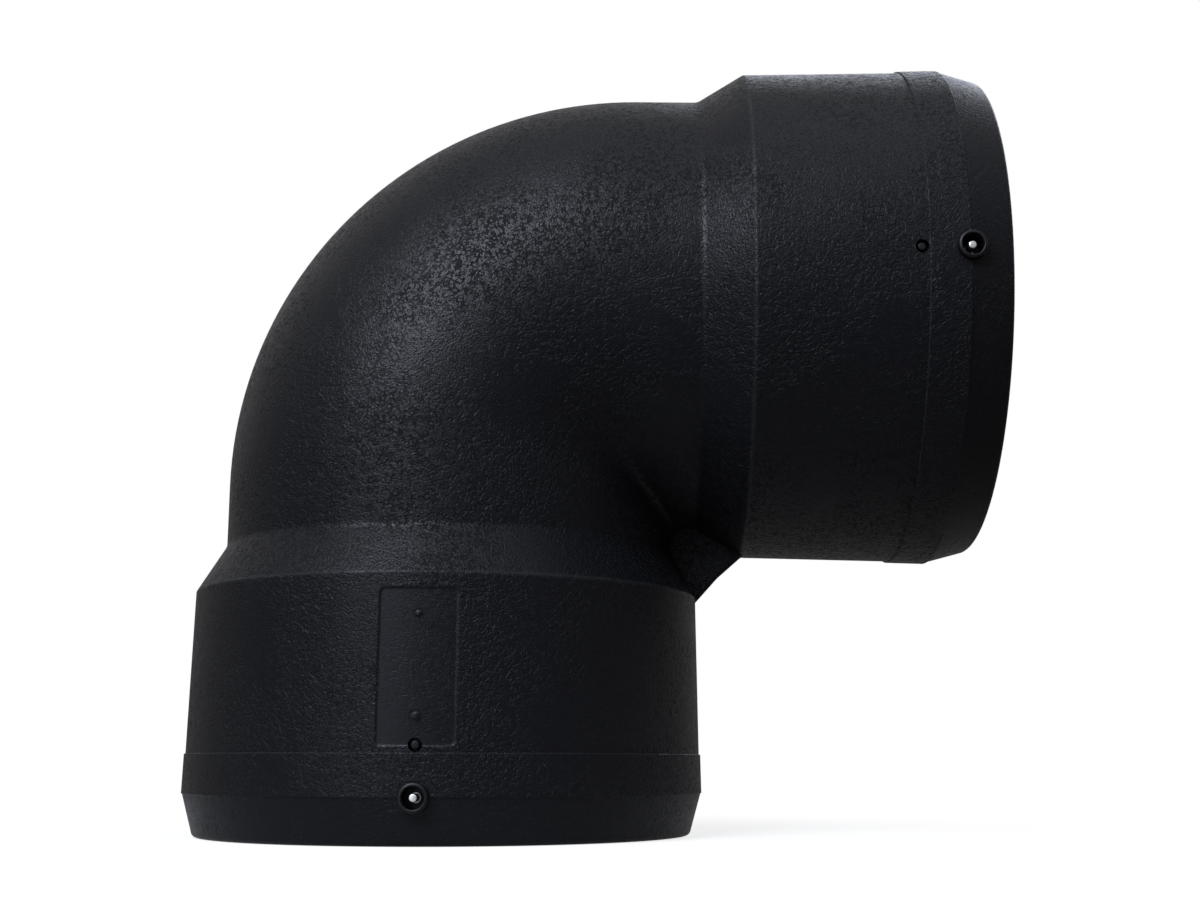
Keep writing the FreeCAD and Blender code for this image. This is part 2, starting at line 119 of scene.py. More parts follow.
class ElbowSocketSizes(bpy.types.PropertyGroup):
    """Outside and bore of a socket, as depths from its mouth and radii about its axis"""
    bore: length("Bore", "Radius of the bore", 113.3)
    bore_depth: length("Bore depth", "Depth at which the pipe meets its stop", 118)
    lead_in: length("Lead-in", "Chamfer at the bore's mouth", 1)
    mouth: length("Mouth", "Outside radius at the mouth", 133.4)
    mouth_round: length("Mouth rounding", "Rounding of the outer mouth edge", 3)
    skirt_end: length("Skirt end", "Outside radius where the skirt meets the band", 139.5)
    skirt_length: length("Skirt length", "Depth at which the band starts", 22.6)
    band: length("Band", "Outside radius of the raised band", 140)
    band_end: length("Band end", "Outside radius at the far edge of the band", 139.45)
    band_end_depth: length("Band end depth", "Depth at which the band ends", 43.3)
    barrel: length("Barrel", "Outside radius where the barrel starts", 138.65)
    shoulder: length("Shoulder", "Outside radius where the barrel ends", 136.85)
    shoulder_depth: length("Shoulder depth", "Depth at which the barrel ends", 128.7)
    shoulder_end_depth: length("Shoulder end depth", "Depth at which the cone meets the leg", 153.7)
    edge_round: length("Edge rounding", "Rounding of the band's and the barrel's edges", 0.5)
    shoulder_round: length("Shoulder rounding", "Rounding of the edge between barrel and cone", 1.6)
    columns: count("Columns", "Faces round a socket", 216)


class ElbowBendSizes(bpy.types.PropertyGroup):
    """Bend, passage and the web in its crotch"""
    leg: length("Leg", "Outside radius of the legs and the bend", 121.9)
    passage: length("Passage", "Radius of the passage through the bend", 94)
    centre_line: length("Centre line", "Radius of the bend's centre line", 103)
    crease: length("Crease", "Rounding in the crease where the two legs meet", 4)
    crotch: length("Crotch", "Rounding of the crease beside the web", 12)
    foot_round: length("Foot rounding", "Rounding between a shoulder's cone and its leg", 7)
    stop_chamfer: length("Stop chamfer", "Chamfer between the pipe stop and the passage", 4)
    web_half: length("Half web", "Half the thickness of the web", 4)
    arc_rows: count("Rows", "Faces along half of the bend", 24)


class ElbowCoilSizes(bpy.types.PropertyGroup):
    """Heating coil under the wall of a bore"""
    start: length("Start", "Depth at which the coil's zone starts", 34)
    end: length("End", "Depth at which the coil's zone ends", 100)
    zone: length("Zone", "Radius of the bore's wall in the coil's zone", 114.1)
    wire: length("Wire", "Radius of the wire", 0.8)
    centre: length("Wire circle", "Radius of the circle that the wire follows", 114.4)
    pitch: length("Pitch", "Distance between turns of the same strand", 12)
    first: length("First turn", "Depth at which the first turn starts", 35.4)
    turns: bpy.props.FloatProperty(
        name="Turns", description="Turns of the strand that goes in", default=4.75, min=1)


class ElbowTerminalSizes(bpy.types.PropertyGroup):
    """Contact pin, collar round it and fusion indicator"""
    collar: length("Collar", "Outside radius of the collar", 7.3)
    well: length("Well", "Radius of the well round the pin", 5.4)
    rim: length("Rim", "Distance of the collar's rim from the socket's axis", 143.2)
    well_floor: length("Well floor", "Distance of the well's floor from the socket's axis", 130.2)
    seat: length("Seat", "Distance of the collar's seat from the socket's axis", 127.2)
    rim_round: length("Rim rounding", "Rounding of the collar's outer rim", 1.3)
    pin: length("Pin", "Radius of the pin's free end", 2)
    shank: length("Shank", "Radius of the pin's shank", 2.4)
    foot: length("Foot", "Radius of the pin's foot", 3.2)
    foot_end: length("Foot end", "Distance of the foot's inner face from the socket's axis", 124.2)
    pin_end: length("Pin end", "Distance of the pin's tip from the socket's axis", 141.2)
    shank_end: length("Shank end", "Distance of the shank's inner end from the socket's axis", 114.8)
    lead_groove: length("Lead groove", "Half the width of the groove for the wire's lead", 1.4)
    indicator: length("Indicator", "Radius of the indicator pin", 2)
    indicator_well: length("Indicator well", "Radius of the well round the indicator", 3.4)
    indicator_floor: length("Indicator floor", "Distance of that well's floor from the axis", 133.57)
    indicator_end: length("Indicator end", "Distance of the indicator's tip from the axis", 137.77)
    indicator_base: length("Indicator base", "Distance of the indicator's foot from the axis", 120.77)


class ElbowFieldSizes(bpy.types.PropertyGroup):
    """Plain marking field on the lower barrel, with two round imprints"""
    start: length("Start", "Depth at which the field starts", 46.2)
    extent: length("Length", "Length of the field", 75)
    arc: bpy.props.FloatProperty(
        name="Arc", description="Arc of the field round the barrel", default=math.radians(15.8),
        subtype="ANGLE", unit="ROTATION")
    recess: length("Recess", "Depth of the field in the barrel", 0.4)
    corner: length("Corner", "Rounding of the field's corners", 3)
    edge: length("Edge", "Width of the slope round the field", 0.7)
    near_depth: length("Near imprint", "Depth of the imprint nearer to the mouth", 60.2)
    near_radius: length("Near radius", "Outer radius of the nearer imprint", 3.2)
    far_depth: length("Far imprint", "Depth of the imprint further in", 108.5)
    far_radius: length("Far radius", "Outer radius of the further imprint", 2.5)
    ring: length("Ring width", "Width of each imprint's ring", 0.9)
    imprint_recess: length("Ring recess", "Depth of the rings in the field", 0.5)


class ElbowFinish(bpy.types.PropertyGroup):
    """Colours and grain"""
    body: colour("Polyethylene", "Black pipe-grade polyethylene", "#0C0C0F")
    # A lighter colour, painted along two edges as a highlight
    painted_edge_highlight: colour("Rubbed edge", "Polyethylene whitened where an edge has been rubbed", "#232325")
    pocket: colour("Grain pocket", "Bottom of the grain and the crackle", "#040405")
    collar: colour("Collar", "Polyethylene moulded on a polished insert", "#0C0C0E")
    pin: colour("Pin", "Tin plating", "#D8D8D4")
    wire: colour("Wire", "Resistance wire", "#A5683F")
    pebble: length("Pebble", "Width of one pebble of the grain", 1.0)
    fleck: length("Fleck", "Distance between dark flecks", 1.1)
    crackle: length("Crackle", "Width of one plate of the crackle", 2.6)
    grit: length("Grit", "Width of the finest roughness", 0.7)
    patch: length("Patch", "Width of a patch where the crackle is stronger", 45.455)


class ElbowStage(bpy.types.PropertyGroup):
    """Floor, lamps and camera"""
    floor: colour("Floor", "Matt pale floor", "#F4F4F4")
    near: length("Near floor", "Radius within which the floor is whole", 140)
    board: length("Board", "Radius out to which the floor shows", 420)
    background: colour("Background", "What shows beyond the floor", "#FFFFFF")
    lamp: colour("Lamp", "Light of the lamps, a little cooler than the walls'", "#E6EEFF")
    world: share("World", "Strength of the light from all sides", 0.27)
    key: power("Key", "Power of the softbox at the upper left", 41)
    strip: power("Strip", "Power of the tall lamp at the left front", 4)
    fill: power("Fill", "Power of the wide lamp overhead", 9.5)
    rear: power("Rear", "Power of the lamp behind the elbow", 8)
    aim: bpy.props.FloatVectorProperty(
        name="Aim", description="Place at which the lamps point", default=(0.08, 0, 0.2),
        subtype="TRANSLATION", unit="LENGTH")
    camera_place: bpy.props.FloatVectorProperty(
        name="Camera", description="Place of the camera", default=(0.098067, -0.900974, 0.03948),
        subtype="TRANSLATION", unit="LENGTH")
    camera_turn: bpy.props.FloatVectorProperty(
        name="Camera turn", description="Turn of the camera",
        default=tuple(math.radians(angle) for angle in (99.206, -0.094, -0.879)), subtype="EULER")
    lens: bpy.props.FloatProperty(
        name="Lens", description="Focal length for a sensor 36 mm wide", default=48.377, min=1)
    camera_shift: bpy.props.FloatVectorProperty(
        name="Camera shift", description="Shift of the picture", default=(-0.0417, 0.0418), size=2)


class ElbowSettings(bpy.types.PropertyGroup):
    """All sizes and colours of the elbow"""
    socket: bpy.props.PointerProperty(type=ElbowSocketSizes)
    bend: bpy.props.PointerProperty(type=ElbowBendSizes)
    coil: bpy.props.PointerProperty(type=ElbowCoilSizes)
    terminal: bpy.props.PointerProperty(type=ElbowTerminalSizes)
    field: bpy.props.PointerProperty(type=ElbowFieldSizes)
    finish: bpy.props.PointerProperty(type=ElbowFinish)
    stage: bpy.props.PointerProperty(type=ElbowStage)


# Lines, meshes and places

def rounded_line(corners, steps=5):
    """Points along a line through the corners (a, b, rounding), each rounded with short straight steps."""
    places = [np.array(corner[:2], float) for corner in corners]
    points = [places[0]]
    for before, place, after, (_, _, radius) in zip(places, places[1:], places[2:], corners[1:-1]):
        incoming = (place - before) / np.linalg.norm(place - before)
        outgoing = (after - place) / np.linalg.norm(after - place)
        turn = math.acos(np.clip(incoming @ outgoing, -1, 1))
        if radius == 0 or turn < 0.001:
            points.append(place)
            continue
        tangent = radius * math.tan(turn / 2)
        towards_centre = (outgoing - incoming) / np.linalg.norm(outgoing - incoming)
        centre = place + towards_centre * radius / math.cos(turn / 2)
        first = place - incoming * tangent - centre
        aside = incoming * radius
        for step in range(steps + 1):
            angle = turn * step / steps
            points.append(centre + first * math.cos(angle) + aside * math.sin(angle))
    points.append(places[-1])
    return np.array(points)


def eased(shares):
    """Shares held between 0 and 1, with a soft start and end."""
    held = np.clip(shares, 0, 1)
    return held * held * (3 - 2 * held)


def to_side_socket(points):
    """Points of the lower socket, mirrored in the mitre plane to the side socket."""
    return np.stack([AXIS_HEIGHT - points[..., 2], points[..., 1], AXIS_HEIGHT - points[..., 0]], -1)


def place_on_socket(points, socket):
    """Points of the lower socket, on the named socket."""
    return to_side_socket(points) if socket == "side" else points


def merge_points(mesh, distance):
    """Make one point of those closer than a distance, and point all faces outwards."""
    work = bmesh.new()
    work.from_mesh(mesh)
    bmesh.ops.remove_doubles(work, verts=work.verts, dist=distance)
    bmesh.ops.recalc_face_normals(work, faces=work.faces)
    work.to_mesh(mesh)
    work.free()


def mesh_object(name, points, faces, materials, smooth_angle=40):
    """A closed mesh object with its faces pointing outwards, smooth up to an angle between faces."""
    mesh = bpy.data.meshes.new(name)
    mesh.from_pydata(points, [], faces)
    merge_points(mesh, SAME_PLACE)
    for material in materials:
        mesh.materials.append(material)
    mesh.shade_smooth()
    mesh.set_sharp_from_angle(angle=math.radians(smooth_angle))
    piece = bpy.data.objects.new(name, mesh)
    bpy.context.collection.objects.link(piece)
    return piece


def applied(piece):
    """The piece with its modifiers made part of its mesh."""
    evaluated = piece.evaluated_get(bpy.context.evaluated_depsgraph_get())
    mesh = bpy.data.meshes.new_from_object(evaluated)
    piece.modifiers.clear()
    piece.data = mesh
    mesh.name = piece.name
    return piece


def turned_points(profile, columns=48):
    """Points and faces of a profile of radius and distance, turned about an axis.

    The profile starts and ends on the axis or in the same place, so merging doubled points closes it.
    """
    points, faces = [], []
    for radius, distance in profile:
        for column in range(columns):
            angle = FULL_TURN * column / columns
            points.append((radius * math.cos(angle), radius * math.sin(angle), distance))
    rows = len(profile)
    for row in range(rows - 1):
        for column in range(columns):
            beside = (column + 1) % columns
            faces.append((row * columns + column, row * columns + beside,
                          (row + 1) * columns + beside, (row + 1) * columns + column))
    return np.array(points), faces


def standing_out(points, depth, side):
    """Points about Z, laid so that Z runs outwards through the wall at a depth, at the front or the back."""
    return np.stack([points[:, 0], side * points[:, 2], depth - side * points[:, 1]], -1)


def turned_piece(name, corners, depth, side, socket, material, columns=48):
    """A turned piece standing out through the wall of a socket."""
    points, faces = turned_points(rounded_line(corners), columns)
    points = place_on_socket(standing_out(points, depth, side), socket)
    return mesh_object(name, points, faces, [material], 50)


def stand_in(piece, node):
    """The piece takes the place of a node of model.glb, which it hides."""
    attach(piece, "root")
    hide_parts(node)


# Materials

def add(tree, kind, inputs=(), **settings):
    """A node with its settings and its inputs, each a socket to link or a value; gives its outputs."""
    node = tree.nodes.new(kind)
    for name, value in settings.items():
        setattr(node, name, value)
    for key, value in dict(inputs).items():
        if isinstance(value, list):
            for output in value:
                tree.links.new(output, node.inputs[key])
        elif isinstance(value, bpy.types.NodeSocket):
            tree.links.new(value, node.inputs[key])
        else:
            node.inputs[key].default_value = value
    return node.outputs


def new_material(name):
    """An empty node material and its tree."""
    material = bpy.data.materials.get(name)
    if material is None:
        material = bpy.data.materials.new(name)
    material.use_nodes = True
    material.node_tree.nodes.clear()
    return material, material.node_tree


def per(millimetres):
    """Scale of a pattern whose features are about this wide."""
    return 1000 / millimetres


def socket_depth(tree, axes):
    """Depth of a place from the nearer mouth, from its parts along the axes."""
    from_side = add(tree, "ShaderNodeMath", {0: AXIS_HEIGHT, 1: axes["X"]}, operation="SUBTRACT")[0]
    return add(tree, "ShaderNodeMath", {0: axes["Z"], 1: from_side}, operation="MINIMUM")[0]


def off_field(tree, axes, settings):
    """Distance of a place outside the marking field, less than nothing inside it."""
    field = settings.field
    across = add(tree, "ShaderNodeMath", {0: axes["X"]}, operation="ABSOLUTE")[0]
    half_width = settings.socket.barrel * math.sin(field.arc / 2)
    beyond_width = add(tree, "ShaderNodeMath", {0: across, 1: half_width - field.corner},
                       operation="SUBTRACT")[0]
    along = add(tree, "ShaderNodeMath", {0: axes["Z"], 1: field.start + field.extent / 2},
                operation="SUBTRACT")[0]
    along = add(tree, "ShaderNodeMath", {0: along}, operation="ABSOLUTE")[0]
    beyond_length = add(tree, "ShaderNodeMath", {0: along, 1: field.extent / 2 - field.corner},
                        operation="SUBTRACT")[0]
    overhang = add(tree, "ShaderNodeCombineXYZ", {0: beyond_width, 1: beyond_length})[0]
    overhang = add(tree, "ShaderNodeVectorMath", {0: overhang, 1: (0, 0, 0)}, operation="MAXIMUM")[0]
    outside = add(tree, "ShaderNodeVectorMath", {0: overhang}, operation="LENGTH")["Value"]
    outside = add(tree, "ShaderNodeMath", {0: outside, 1: field.corner}, operation="SUBTRACT")[0]
    behind = add(tree, "ShaderNodeMath", {0: axes["Y"], 1: 0.0}, operation="GREATER_THAN")[0]
    return add(tree, "ShaderNodeMath", {0: outside, 1: behind}, operation="ADD")[0]


def moulded_polyethylene(settings):
    """Polyethylene, injection moulded in an eroded steel mould."""
    # The mould's eroded wall leaves fine soft pebbles that break the gloss, with dark crackle and flecks
    # that are stronger in patches.
    finish = settings.finish
    socket = settings.socket
    material, tree = new_material("moulded_polyethylene")
    place = add(tree, "ShaderNodeTexCoord")["Object"]
    axes = add(tree, "ShaderNodeSeparateXYZ", {0: place})
    depth = socket_depth(tree, axes)

    # Pebbles, shifted by up to a third of their width so that they don't look like round cells
    wobble = add(tree, "ShaderNodeTexNoise", {"Vector": place, "Scale": 0.4 / finish.pebble, "Detail": 2.0})
    centred = add(tree, "ShaderNodeVectorMath", {0: wobble["Color"], 1: (0.5, 0.5, 0.5)},
                  operation="SUBTRACT")[0]
    bent = add(tree, "ShaderNodeVectorMath", {0: centred, 1: (finish.pebble * 0.7,) * 3, 2: place},
               operation="MULTIPLY_ADD")[0]
    pebbles = add(tree, "ShaderNodeTexVoronoi", {"Vector": bent, "Scale": 1 / finish.pebble,
                                                 "Smoothness": 0.35, "Randomness": 1.0},
                  feature="SMOOTH_F1")["Distance"]
    grit = add(tree, "ShaderNodeTexNoise", {"Vector": place, "Scale": 1 / finish.grit, "Detail": 2.0})["Fac"]
    swell = add(tree, "ShaderNodeTexNoise", {"Vector": place, "Scale": 0.25 / finish.pebble,
                                             "Detail": 3.0})["Fac"]

    # Crackle, stronger in patches, in lines that fade in and out along themselves
    crackle_bend = add(tree, "ShaderNodeTexNoise", {"Vector": place, "Scale": 1.2 / finish.crackle,
                                                    "Detail": 3.0})["Color"]
    crackle_place = add(tree, "ShaderNodeVectorMath",
                        {0: crackle_bend, 1: (finish.crackle * 0.8,) * 3, 2: place},
                        operation="MULTIPLY_ADD")[0]
    plates = add(tree, "ShaderNodeTexVoronoi", {"Vector": crackle_place, "Scale": 1 / finish.crackle},
                 feature="DISTANCE_TO_EDGE")["Distance"]
    crack = add(tree, "ShaderNodeMapRange", {"Value": plates, "From Min": 0.0, "From Max": 0.16,
                                             "To Min": 1.0, "To Max": 0.0},
                interpolation_type="SMOOTHSTEP")[0]
    patch_noise = add(tree, "ShaderNodeTexNoise", {"Vector": place, "Scale": 1 / finish.patch,
                                                   "Detail": 4.0})["Fac"]
    patches = add(tree, "ShaderNodeMapRange", {"Value": patch_noise, "From Min": 0.3, "From Max": 0.6},
                  interpolation_type="SMOOTHSTEP")[0]
    breaks = add(tree, "ShaderNodeTexNoise", {"Vector": place, "Scale": 0.8 / finish.crackle,
                                              "Detail": 2.0})["Fac"]
    breaks = add(tree, "ShaderNodeMapRange", {"Value": breaks, "From Min": 0.42, "From Max": 0.58})[0]
    crack = add(tree, "ShaderNodeMath", {0: crack, 1: breaks}, operation="MULTIPLY")[0]
    cracking = add(tree, "ShaderNodeMath", {0: crack, 1: patches}, operation="MULTIPLY")[0]

    # Dark flecks where the melt has pulled away from the mould, a little stronger in the same patches
    fleck_cells = add(tree, "ShaderNodeTexVoronoi", {"Vector": crackle_place, "Scale": 1 / finish.fleck},
                      feature="F1")["Distance"]
    flecks = add(tree, "ShaderNodeMapRange", {"Value": fleck_cells, "From Min": 0.18, "From Max": 0.38,
                                              "To Min": 1.0, "To Max": 0.0},
                 interpolation_type="SMOOTHSTEP")[0]
    fleck_share = add(tree, "ShaderNodeMapRange", {"Value": patch_noise, "From Min": 0.38, "From Max": 0.6,
                                                   "To Min": 0.75, "To Max": 0.85})[0]
    flecks = add(tree, "ShaderNodeMath", {0: flecks, 1: fleck_share}, operation="MULTIPLY")[0]
    cracking = add(tree, "ShaderNodeMath", {0: cracking, 1: flecks}, operation="MAXIMUM")[0]

    # The skirt and the marking field were smoother in the mould, so they take less of the grain
    skirt_share = add(tree, "ShaderNodeMapRange", {"Value": depth, "From Min": socket.skirt_length - 0.0004,
                                                   "From Max": socket.skirt_length + 0.0004,
                                                   "To Min": 0.45})[0]
    field_share = add(tree, "ShaderNodeMapRange", {"Value": off_field(tree, axes, settings),
                                                   "From Min": -0.0003, "From Max": 0.0003,
                                                   "To Min": 0.2})[0]
    graining = add(tree, "ShaderNodeMath", {0: field_share, 1: skirt_share}, operation="MULTIPLY")[0]
    cracking = add(tree, "ShaderNodeMath", {0: cracking, 1: graining}, operation="MULTIPLY")[0]

    # Height of the surface, where 1 is the bump's distance of 0.35 mm
    height = add(tree, "ShaderNodeMath", {0: pebbles, 1: -0.4, 2: 0.6}, operation="MULTIPLY_ADD")[0]
    height = add(tree, "ShaderNodeMath", {0: swell, 1: 0.2, 2: height}, operation="MULTIPLY_ADD")[0]
    height = add(tree, "ShaderNodeMath", {0: grit, 1: 0.4, 2: height}, operation="MULTIPLY_ADD")[0]
    height = add(tree, "ShaderNodeMath", {0: height, 1: graining}, operation="MULTIPLY")[0]
    height = add(tree, "ShaderNodeMath", {0: cracking, 1: -1.1, 2: height}, operation="MULTIPLY_ADD")[0]
    bump = add(tree, "ShaderNodeBump", {"Height": height, "Strength": 1.0, "Distance": 0.00035})[0]

    # Painted highlight: a lighter colour in broken lines along the barrel's far end and the band's far edge
    lines = []
    for edge, width in ((socket.shoulder_depth, 0.0016), (socket.band_end_depth, 0.0005)):
        off = add(tree, "ShaderNodeMath", {0: depth, 1: edge}, operation="SUBTRACT")[0]
        off = add(tree, "ShaderNodeMath", {0: off}, operation="ABSOLUTE")[0]
        lines.append(add(tree, "ShaderNodeMapRange", {"Value": off, "From Min": 0.0, "From Max": width,
                                                      "To Min": 1.0, "To Max": 0.0},
                         interpolation_type="SMOOTHSTEP")[0])
    painted_edge_highlight = add(tree, "ShaderNodeMath", {0: lines[0], 1: lines[1]}, operation="MAXIMUM")[0]
    highlight_breaks = add(tree, "ShaderNodeTexNoise", {"Vector": place, "Scale": per(4.545), "Detail": 3.0})["Fac"]
    painted_edge_highlight = add(tree, "ShaderNodeMath", {0: painted_edge_highlight, 1: highlight_breaks}, operation="MULTIPLY")[0]

    tone = add(tree, "ShaderNodeMix", {0: cracking, 6: (*finish.body, 1), 7: (*finish.pocket, 1)},
               data_type="RGBA")[2]
    # The painted edge highlight is mixed into the colour here
    tone = add(tree, "ShaderNodeMix", {0: painted_edge_highlight, 6: tone, 7: (*finish.painted_edge_highlight, 1)}, data_type="RGBA")[2]
    dullness = add(tree, "ShaderNodeMapRange", {"Value": swell, "From Min": 0.3, "From Max": 0.7,
                                                "To Min": 0.28, "To Max": 0.38})[0]
    dullness = add(tree, "ShaderNodeMath", {0: cracking, 1: 0.35, 2: dullness}, operation="MULTIPLY_ADD")[0]
    # The gloss is matched to the photo's: the typical level of 0.5 shines too much in this pale room
    surface = add(tree, "ShaderNodeBsdfPrincipled",
                  {"Base Color": tone, "Roughness": dullness, "Normal": bump, "IOR": POLYETHYLENE_IOR,
                   "Specular IOR Level": 0.12})[0]
    add(tree, "ShaderNodeOutputMaterial", {"Surface": surface})
    return material


def bored_polyethylene(settings):
    """Polyethylene, moulded on a turned core."""
    # The core's fine tool rings give the bore a silky sheen with faint rings round its axis.
    finish = settings.finish
    material, tree = new_material("bored_polyethylene")
    place = add(tree, "ShaderNodeTexCoord")["Object"]
    axes = add(tree, "ShaderNodeSeparateXYZ", {0: place})
    depth = socket_depth(tree, axes)
    # Tool rings of 0.8 mm, drawn wider than real ones so that they show
    turns = add(tree, "ShaderNodeCombineXYZ", {2: depth})[0]
    rings = add(tree, "ShaderNodeTexNoise", {"Vector": turns, "Scale": per(0.8), "Detail": 2.0})["Fac"]
    cloud = add(tree, "ShaderNodeTexNoise", {"Vector": place, "Scale": per(16.667), "Detail": 4.0})["Fac"]
    bump = add(tree, "ShaderNodeBump", {"Height": rings, "Strength": 0.5, "Distance": 0.00008})[0]
    tone = add(tree, "ShaderNodeMix", {0: cloud, 6: (*finish.pocket, 1), 7: (*finish.body, 1)},
               data_type="RGBA")[2]
    dullness = add(tree, "ShaderNodeMapRange", {"Value": cloud, "To Min": 0.3, "To Max": 0.44})[0]
    surface = add(tree, "ShaderNodeBsdfPrincipled",
                  {"Base Color": tone, "Roughness": dullness, "Normal": bump, "IOR": POLYETHYLENE_IOR,
                   "Specular IOR Level": 0.35})[0]
    add(tree, "ShaderNodeOutputMaterial", {"Surface": surface})
    return material


def polished_polyethylene(settings):
    """Polyethylene, moulded on a polished insert."""
    # Collars and indicator pins leave a polished mould, so they keep a clear, slightly uneven gloss.
    finish = settings.finish
    material, tree = new_material("polished_polyethylene")
    place = add(tree, "ShaderNodeTexCoord")["Object"]
    ripple = add(tree, "ShaderNodeTexNoise", {"Vector": place, "Scale": per(2.5), "Detail": 3.0})["Fac"]
    scuffs = add(tree, "ShaderNodeTexNoise", {"Vector": place, "Scale": per(0.66667), "Detail": 2.0})["Fac"]
    bump = add(tree, "ShaderNodeBump", {"Height": ripple, "Strength": 0.4, "Distance": 0.0001})[0]
    dullness = add(tree, "ShaderNodeMapRange", {"Value": scuffs, "From Min": 0.3, "From Max": 0.7,
                                                "To Min": 0.34, "To Max": 0.48})[0]
    tone = add(tree, "ShaderNodeMix", {0: scuffs, 6: (*finish.pocket, 1), 7: (*finish.collar, 1)},
               data_type="RGBA")[2]
    surface = add(tree, "ShaderNodeBsdfPrincipled",
                  {"Base Color": tone, "Roughness": dullness, "Normal": bump, "IOR": POLYETHYLENE_IOR,
                   "Specular IOR Level": 0.2})[0]
    add(tree, "ShaderNodeOutputMaterial", {"Surface": surface})
    return material


def tin_plated_brass(settings):
    """Brass pin, turned and plated with tin."""
    # Matt electroplated tin gives a pale, nearly white metal with soft reflections and fine turning marks.
    material, tree = new_material("tin_plated_brass")
    place = add(tree, "ShaderNodeTexCoord")["Object"]
    marks = add(tree, "ShaderNodeTexNoise", {"Vector": place, "Scale": per(0.4), "Detail": 2.0})["Fac"]
    bump = add(tree, "ShaderNodeBump", {"Height": marks, "Strength": 0.4, "Distance": 0.00004})[0]
    dullness = add(tree, "ShaderNodeMapRange", {"Value": marks, "To Min": 0.25, "To Max": 0.45})[0]
    surface = add(tree, "ShaderNodeBsdfPrincipled",
                  {"Base Color": (*settings.finish.pin, 1), "Metallic": 1.0, "Roughness": dullness,
                   "Normal": bump})[0]
    add(tree, "ShaderNodeOutputMaterial", {"Surface": surface})
    return material


def drawn_resistance_wire(settings):
    """Copper-nickel resistance wire, drawn and filmed with polyethylene."""
    # Drawing leaves fine dies' streaks, and heat has tinted the copper alloy unevenly.
    finish = settings.finish
    material, tree = new_material("drawn_resistance_wire")
    place = add(tree, "ShaderNodeTexCoord")["Object"]
    tint = add(tree, "ShaderNodeTexNoise", {"Vector": place, "Scale": per(8.3333), "Detail": 3.0})["Fac"]
    streaks = add(tree, "ShaderNodeTexNoise", {"Vector": place, "Scale": per(0.33333), "Detail": 1.0})["Fac"]
    dark = [part * 0.55 for part in finish.wire]
    tone = add(tree, "ShaderNodeMix", {0: tint, 6: (*dark, 1), 7: (*finish.wire, 1)}, data_type="RGBA")[2]
    dullness = add(tree, "ShaderNodeMapRange", {"Value": streaks, "To Min": 0.3, "To Max": 0.5})[0]
    surface = add(tree, "ShaderNodeBsdfPrincipled",
                  {"Base Color": tone, "Metallic": 1.0, "Roughness": dullness})[0]
    add(tree, "ShaderNodeOutputMaterial", {"Surface": surface})
    return material


def background_seen(tree):
    """1 for a ray from the camera, a reflection or a refraction, which sees the background."""
    path = add(tree, "ShaderNodeLightPath")
    either = add(tree, "ShaderNodeMath", {0: path["Is Camera Ray"], 1: path["Is Glossy Ray"]},
                 operation="MAXIMUM")[0]
    return add(tree, "ShaderNodeMath", {0: either, 1: path["Is Transmission Ray"]}, operation="MAXIMUM")[0]


def matt_floor(stage):
    """Painted board, matt."""
    # Even pale paint with the faintest mottling, which keeps the object's shadow and fades out into the pale
    # room further from the object.
    material, tree = new_material("matt_floor")
    place = add(tree, "ShaderNodeTexCoord")["Object"]
    mottle = add(tree, "ShaderNodeTexNoise", {"Vector": place, "Scale": per(33.333), "Detail": 3.0})["Fac"]
    tone = add(tree, "ShaderNodeMix", {0: mottle, 6: (*stage.floor, 1), 7: (*stage.background, 1)},
               data_type="RGBA")[2]
    matt = add(tree, "ShaderNodeBsdfDiffuse", {"Color": tone})[0]
    # A reflection sees the board in the object's own shade, and so dimmer than the camera does
    from_camera = add(tree, "ShaderNodeLightPath")["Is Camera Ray"]
    shaded = add(tree, "ShaderNodeMath", {0: from_camera, 1: 0.7, 2: 0.3}, operation="MULTIPLY_ADD")[0]
    bright = add(tree, "ShaderNodeEmission", {"Color": (*stage.background, 1), "Strength": shaded})[0]
    # A fifth of what is seen is the lit paint, which carries the object's shadow
    part = add(tree, "ShaderNodeMath", {0: background_seen(tree), 1: 0.8}, operation="MULTIPLY")[0]
    board = add(tree, "ShaderNodeMixShader", {0: part, 1: matt, 2: bright})[0]
    away = add(tree, "ShaderNodeVectorMath", {0: place}, operation="LENGTH")["Value"]
    away = add(tree, "ShaderNodeMapRange", {"Value": away, "From Min": stage.near, "From Max": stage.board},
               interpolation_type="SMOOTHSTEP")[0]
    clear = add(tree, "ShaderNodeBsdfTransparent")[0]
    surface = add(tree, "ShaderNodeMixShader", {0: away, 1: board, 2: clear})[0]
    add(tree, "ShaderNodeOutputMaterial", {"Surface": surface})
    return material


def pale_room(stage):
    """A world that the camera sees as plain background, and that lights the elbow softly from all sides."""
    world = bpy.data.worlds.new("studio")
    world.use_nodes = True
    tree = world.node_tree
    tree.nodes.clear()
    upwards = add(tree, "ShaderNodeSeparateXYZ", {0: add(tree, "ShaderNodeTexCoord")["Generated"]})["Z"]
    # Reflections see a pale ceiling and dimmer walls
    walls = add(tree, "ShaderNodeMapRange", {"Value": upwards, "From Min": 0.05, "From Max": 0.5,
                                             "To Min": 0.2, "To Max": 0.5})[0]
    plain = add(tree, "ShaderNodeLightPath")["Is Camera Ray"]
    walls = add(tree, "ShaderNodeMath", {0: walls, 1: plain}, operation="MAXIMUM")[0]
    beyond = add(tree, "ShaderNodeBackground", {"Color": (*stage.background, 1), "Strength": walls})[0]
    # Less light comes from below, where the floor fades out
    around = add(tree, "ShaderNodeMapRange", {"Value": upwards, "From Min": -0.3, "From Max": 0.3,
                                              "To Min": 0.3 * stage.world, "To Max": stage.world})[0]
    light = add(tree, "ShaderNodeBackground", {"Color": (1, 1, 1, 1), "Strength": around})[0]
    surface = add(tree, "ShaderNodeMixShader", {0: background_seen(tree), 1: light, 2: beyond})[0]
    add(tree, "ShaderNodeOutputWorld", {"Surface": surface})
    return world


# The moulding

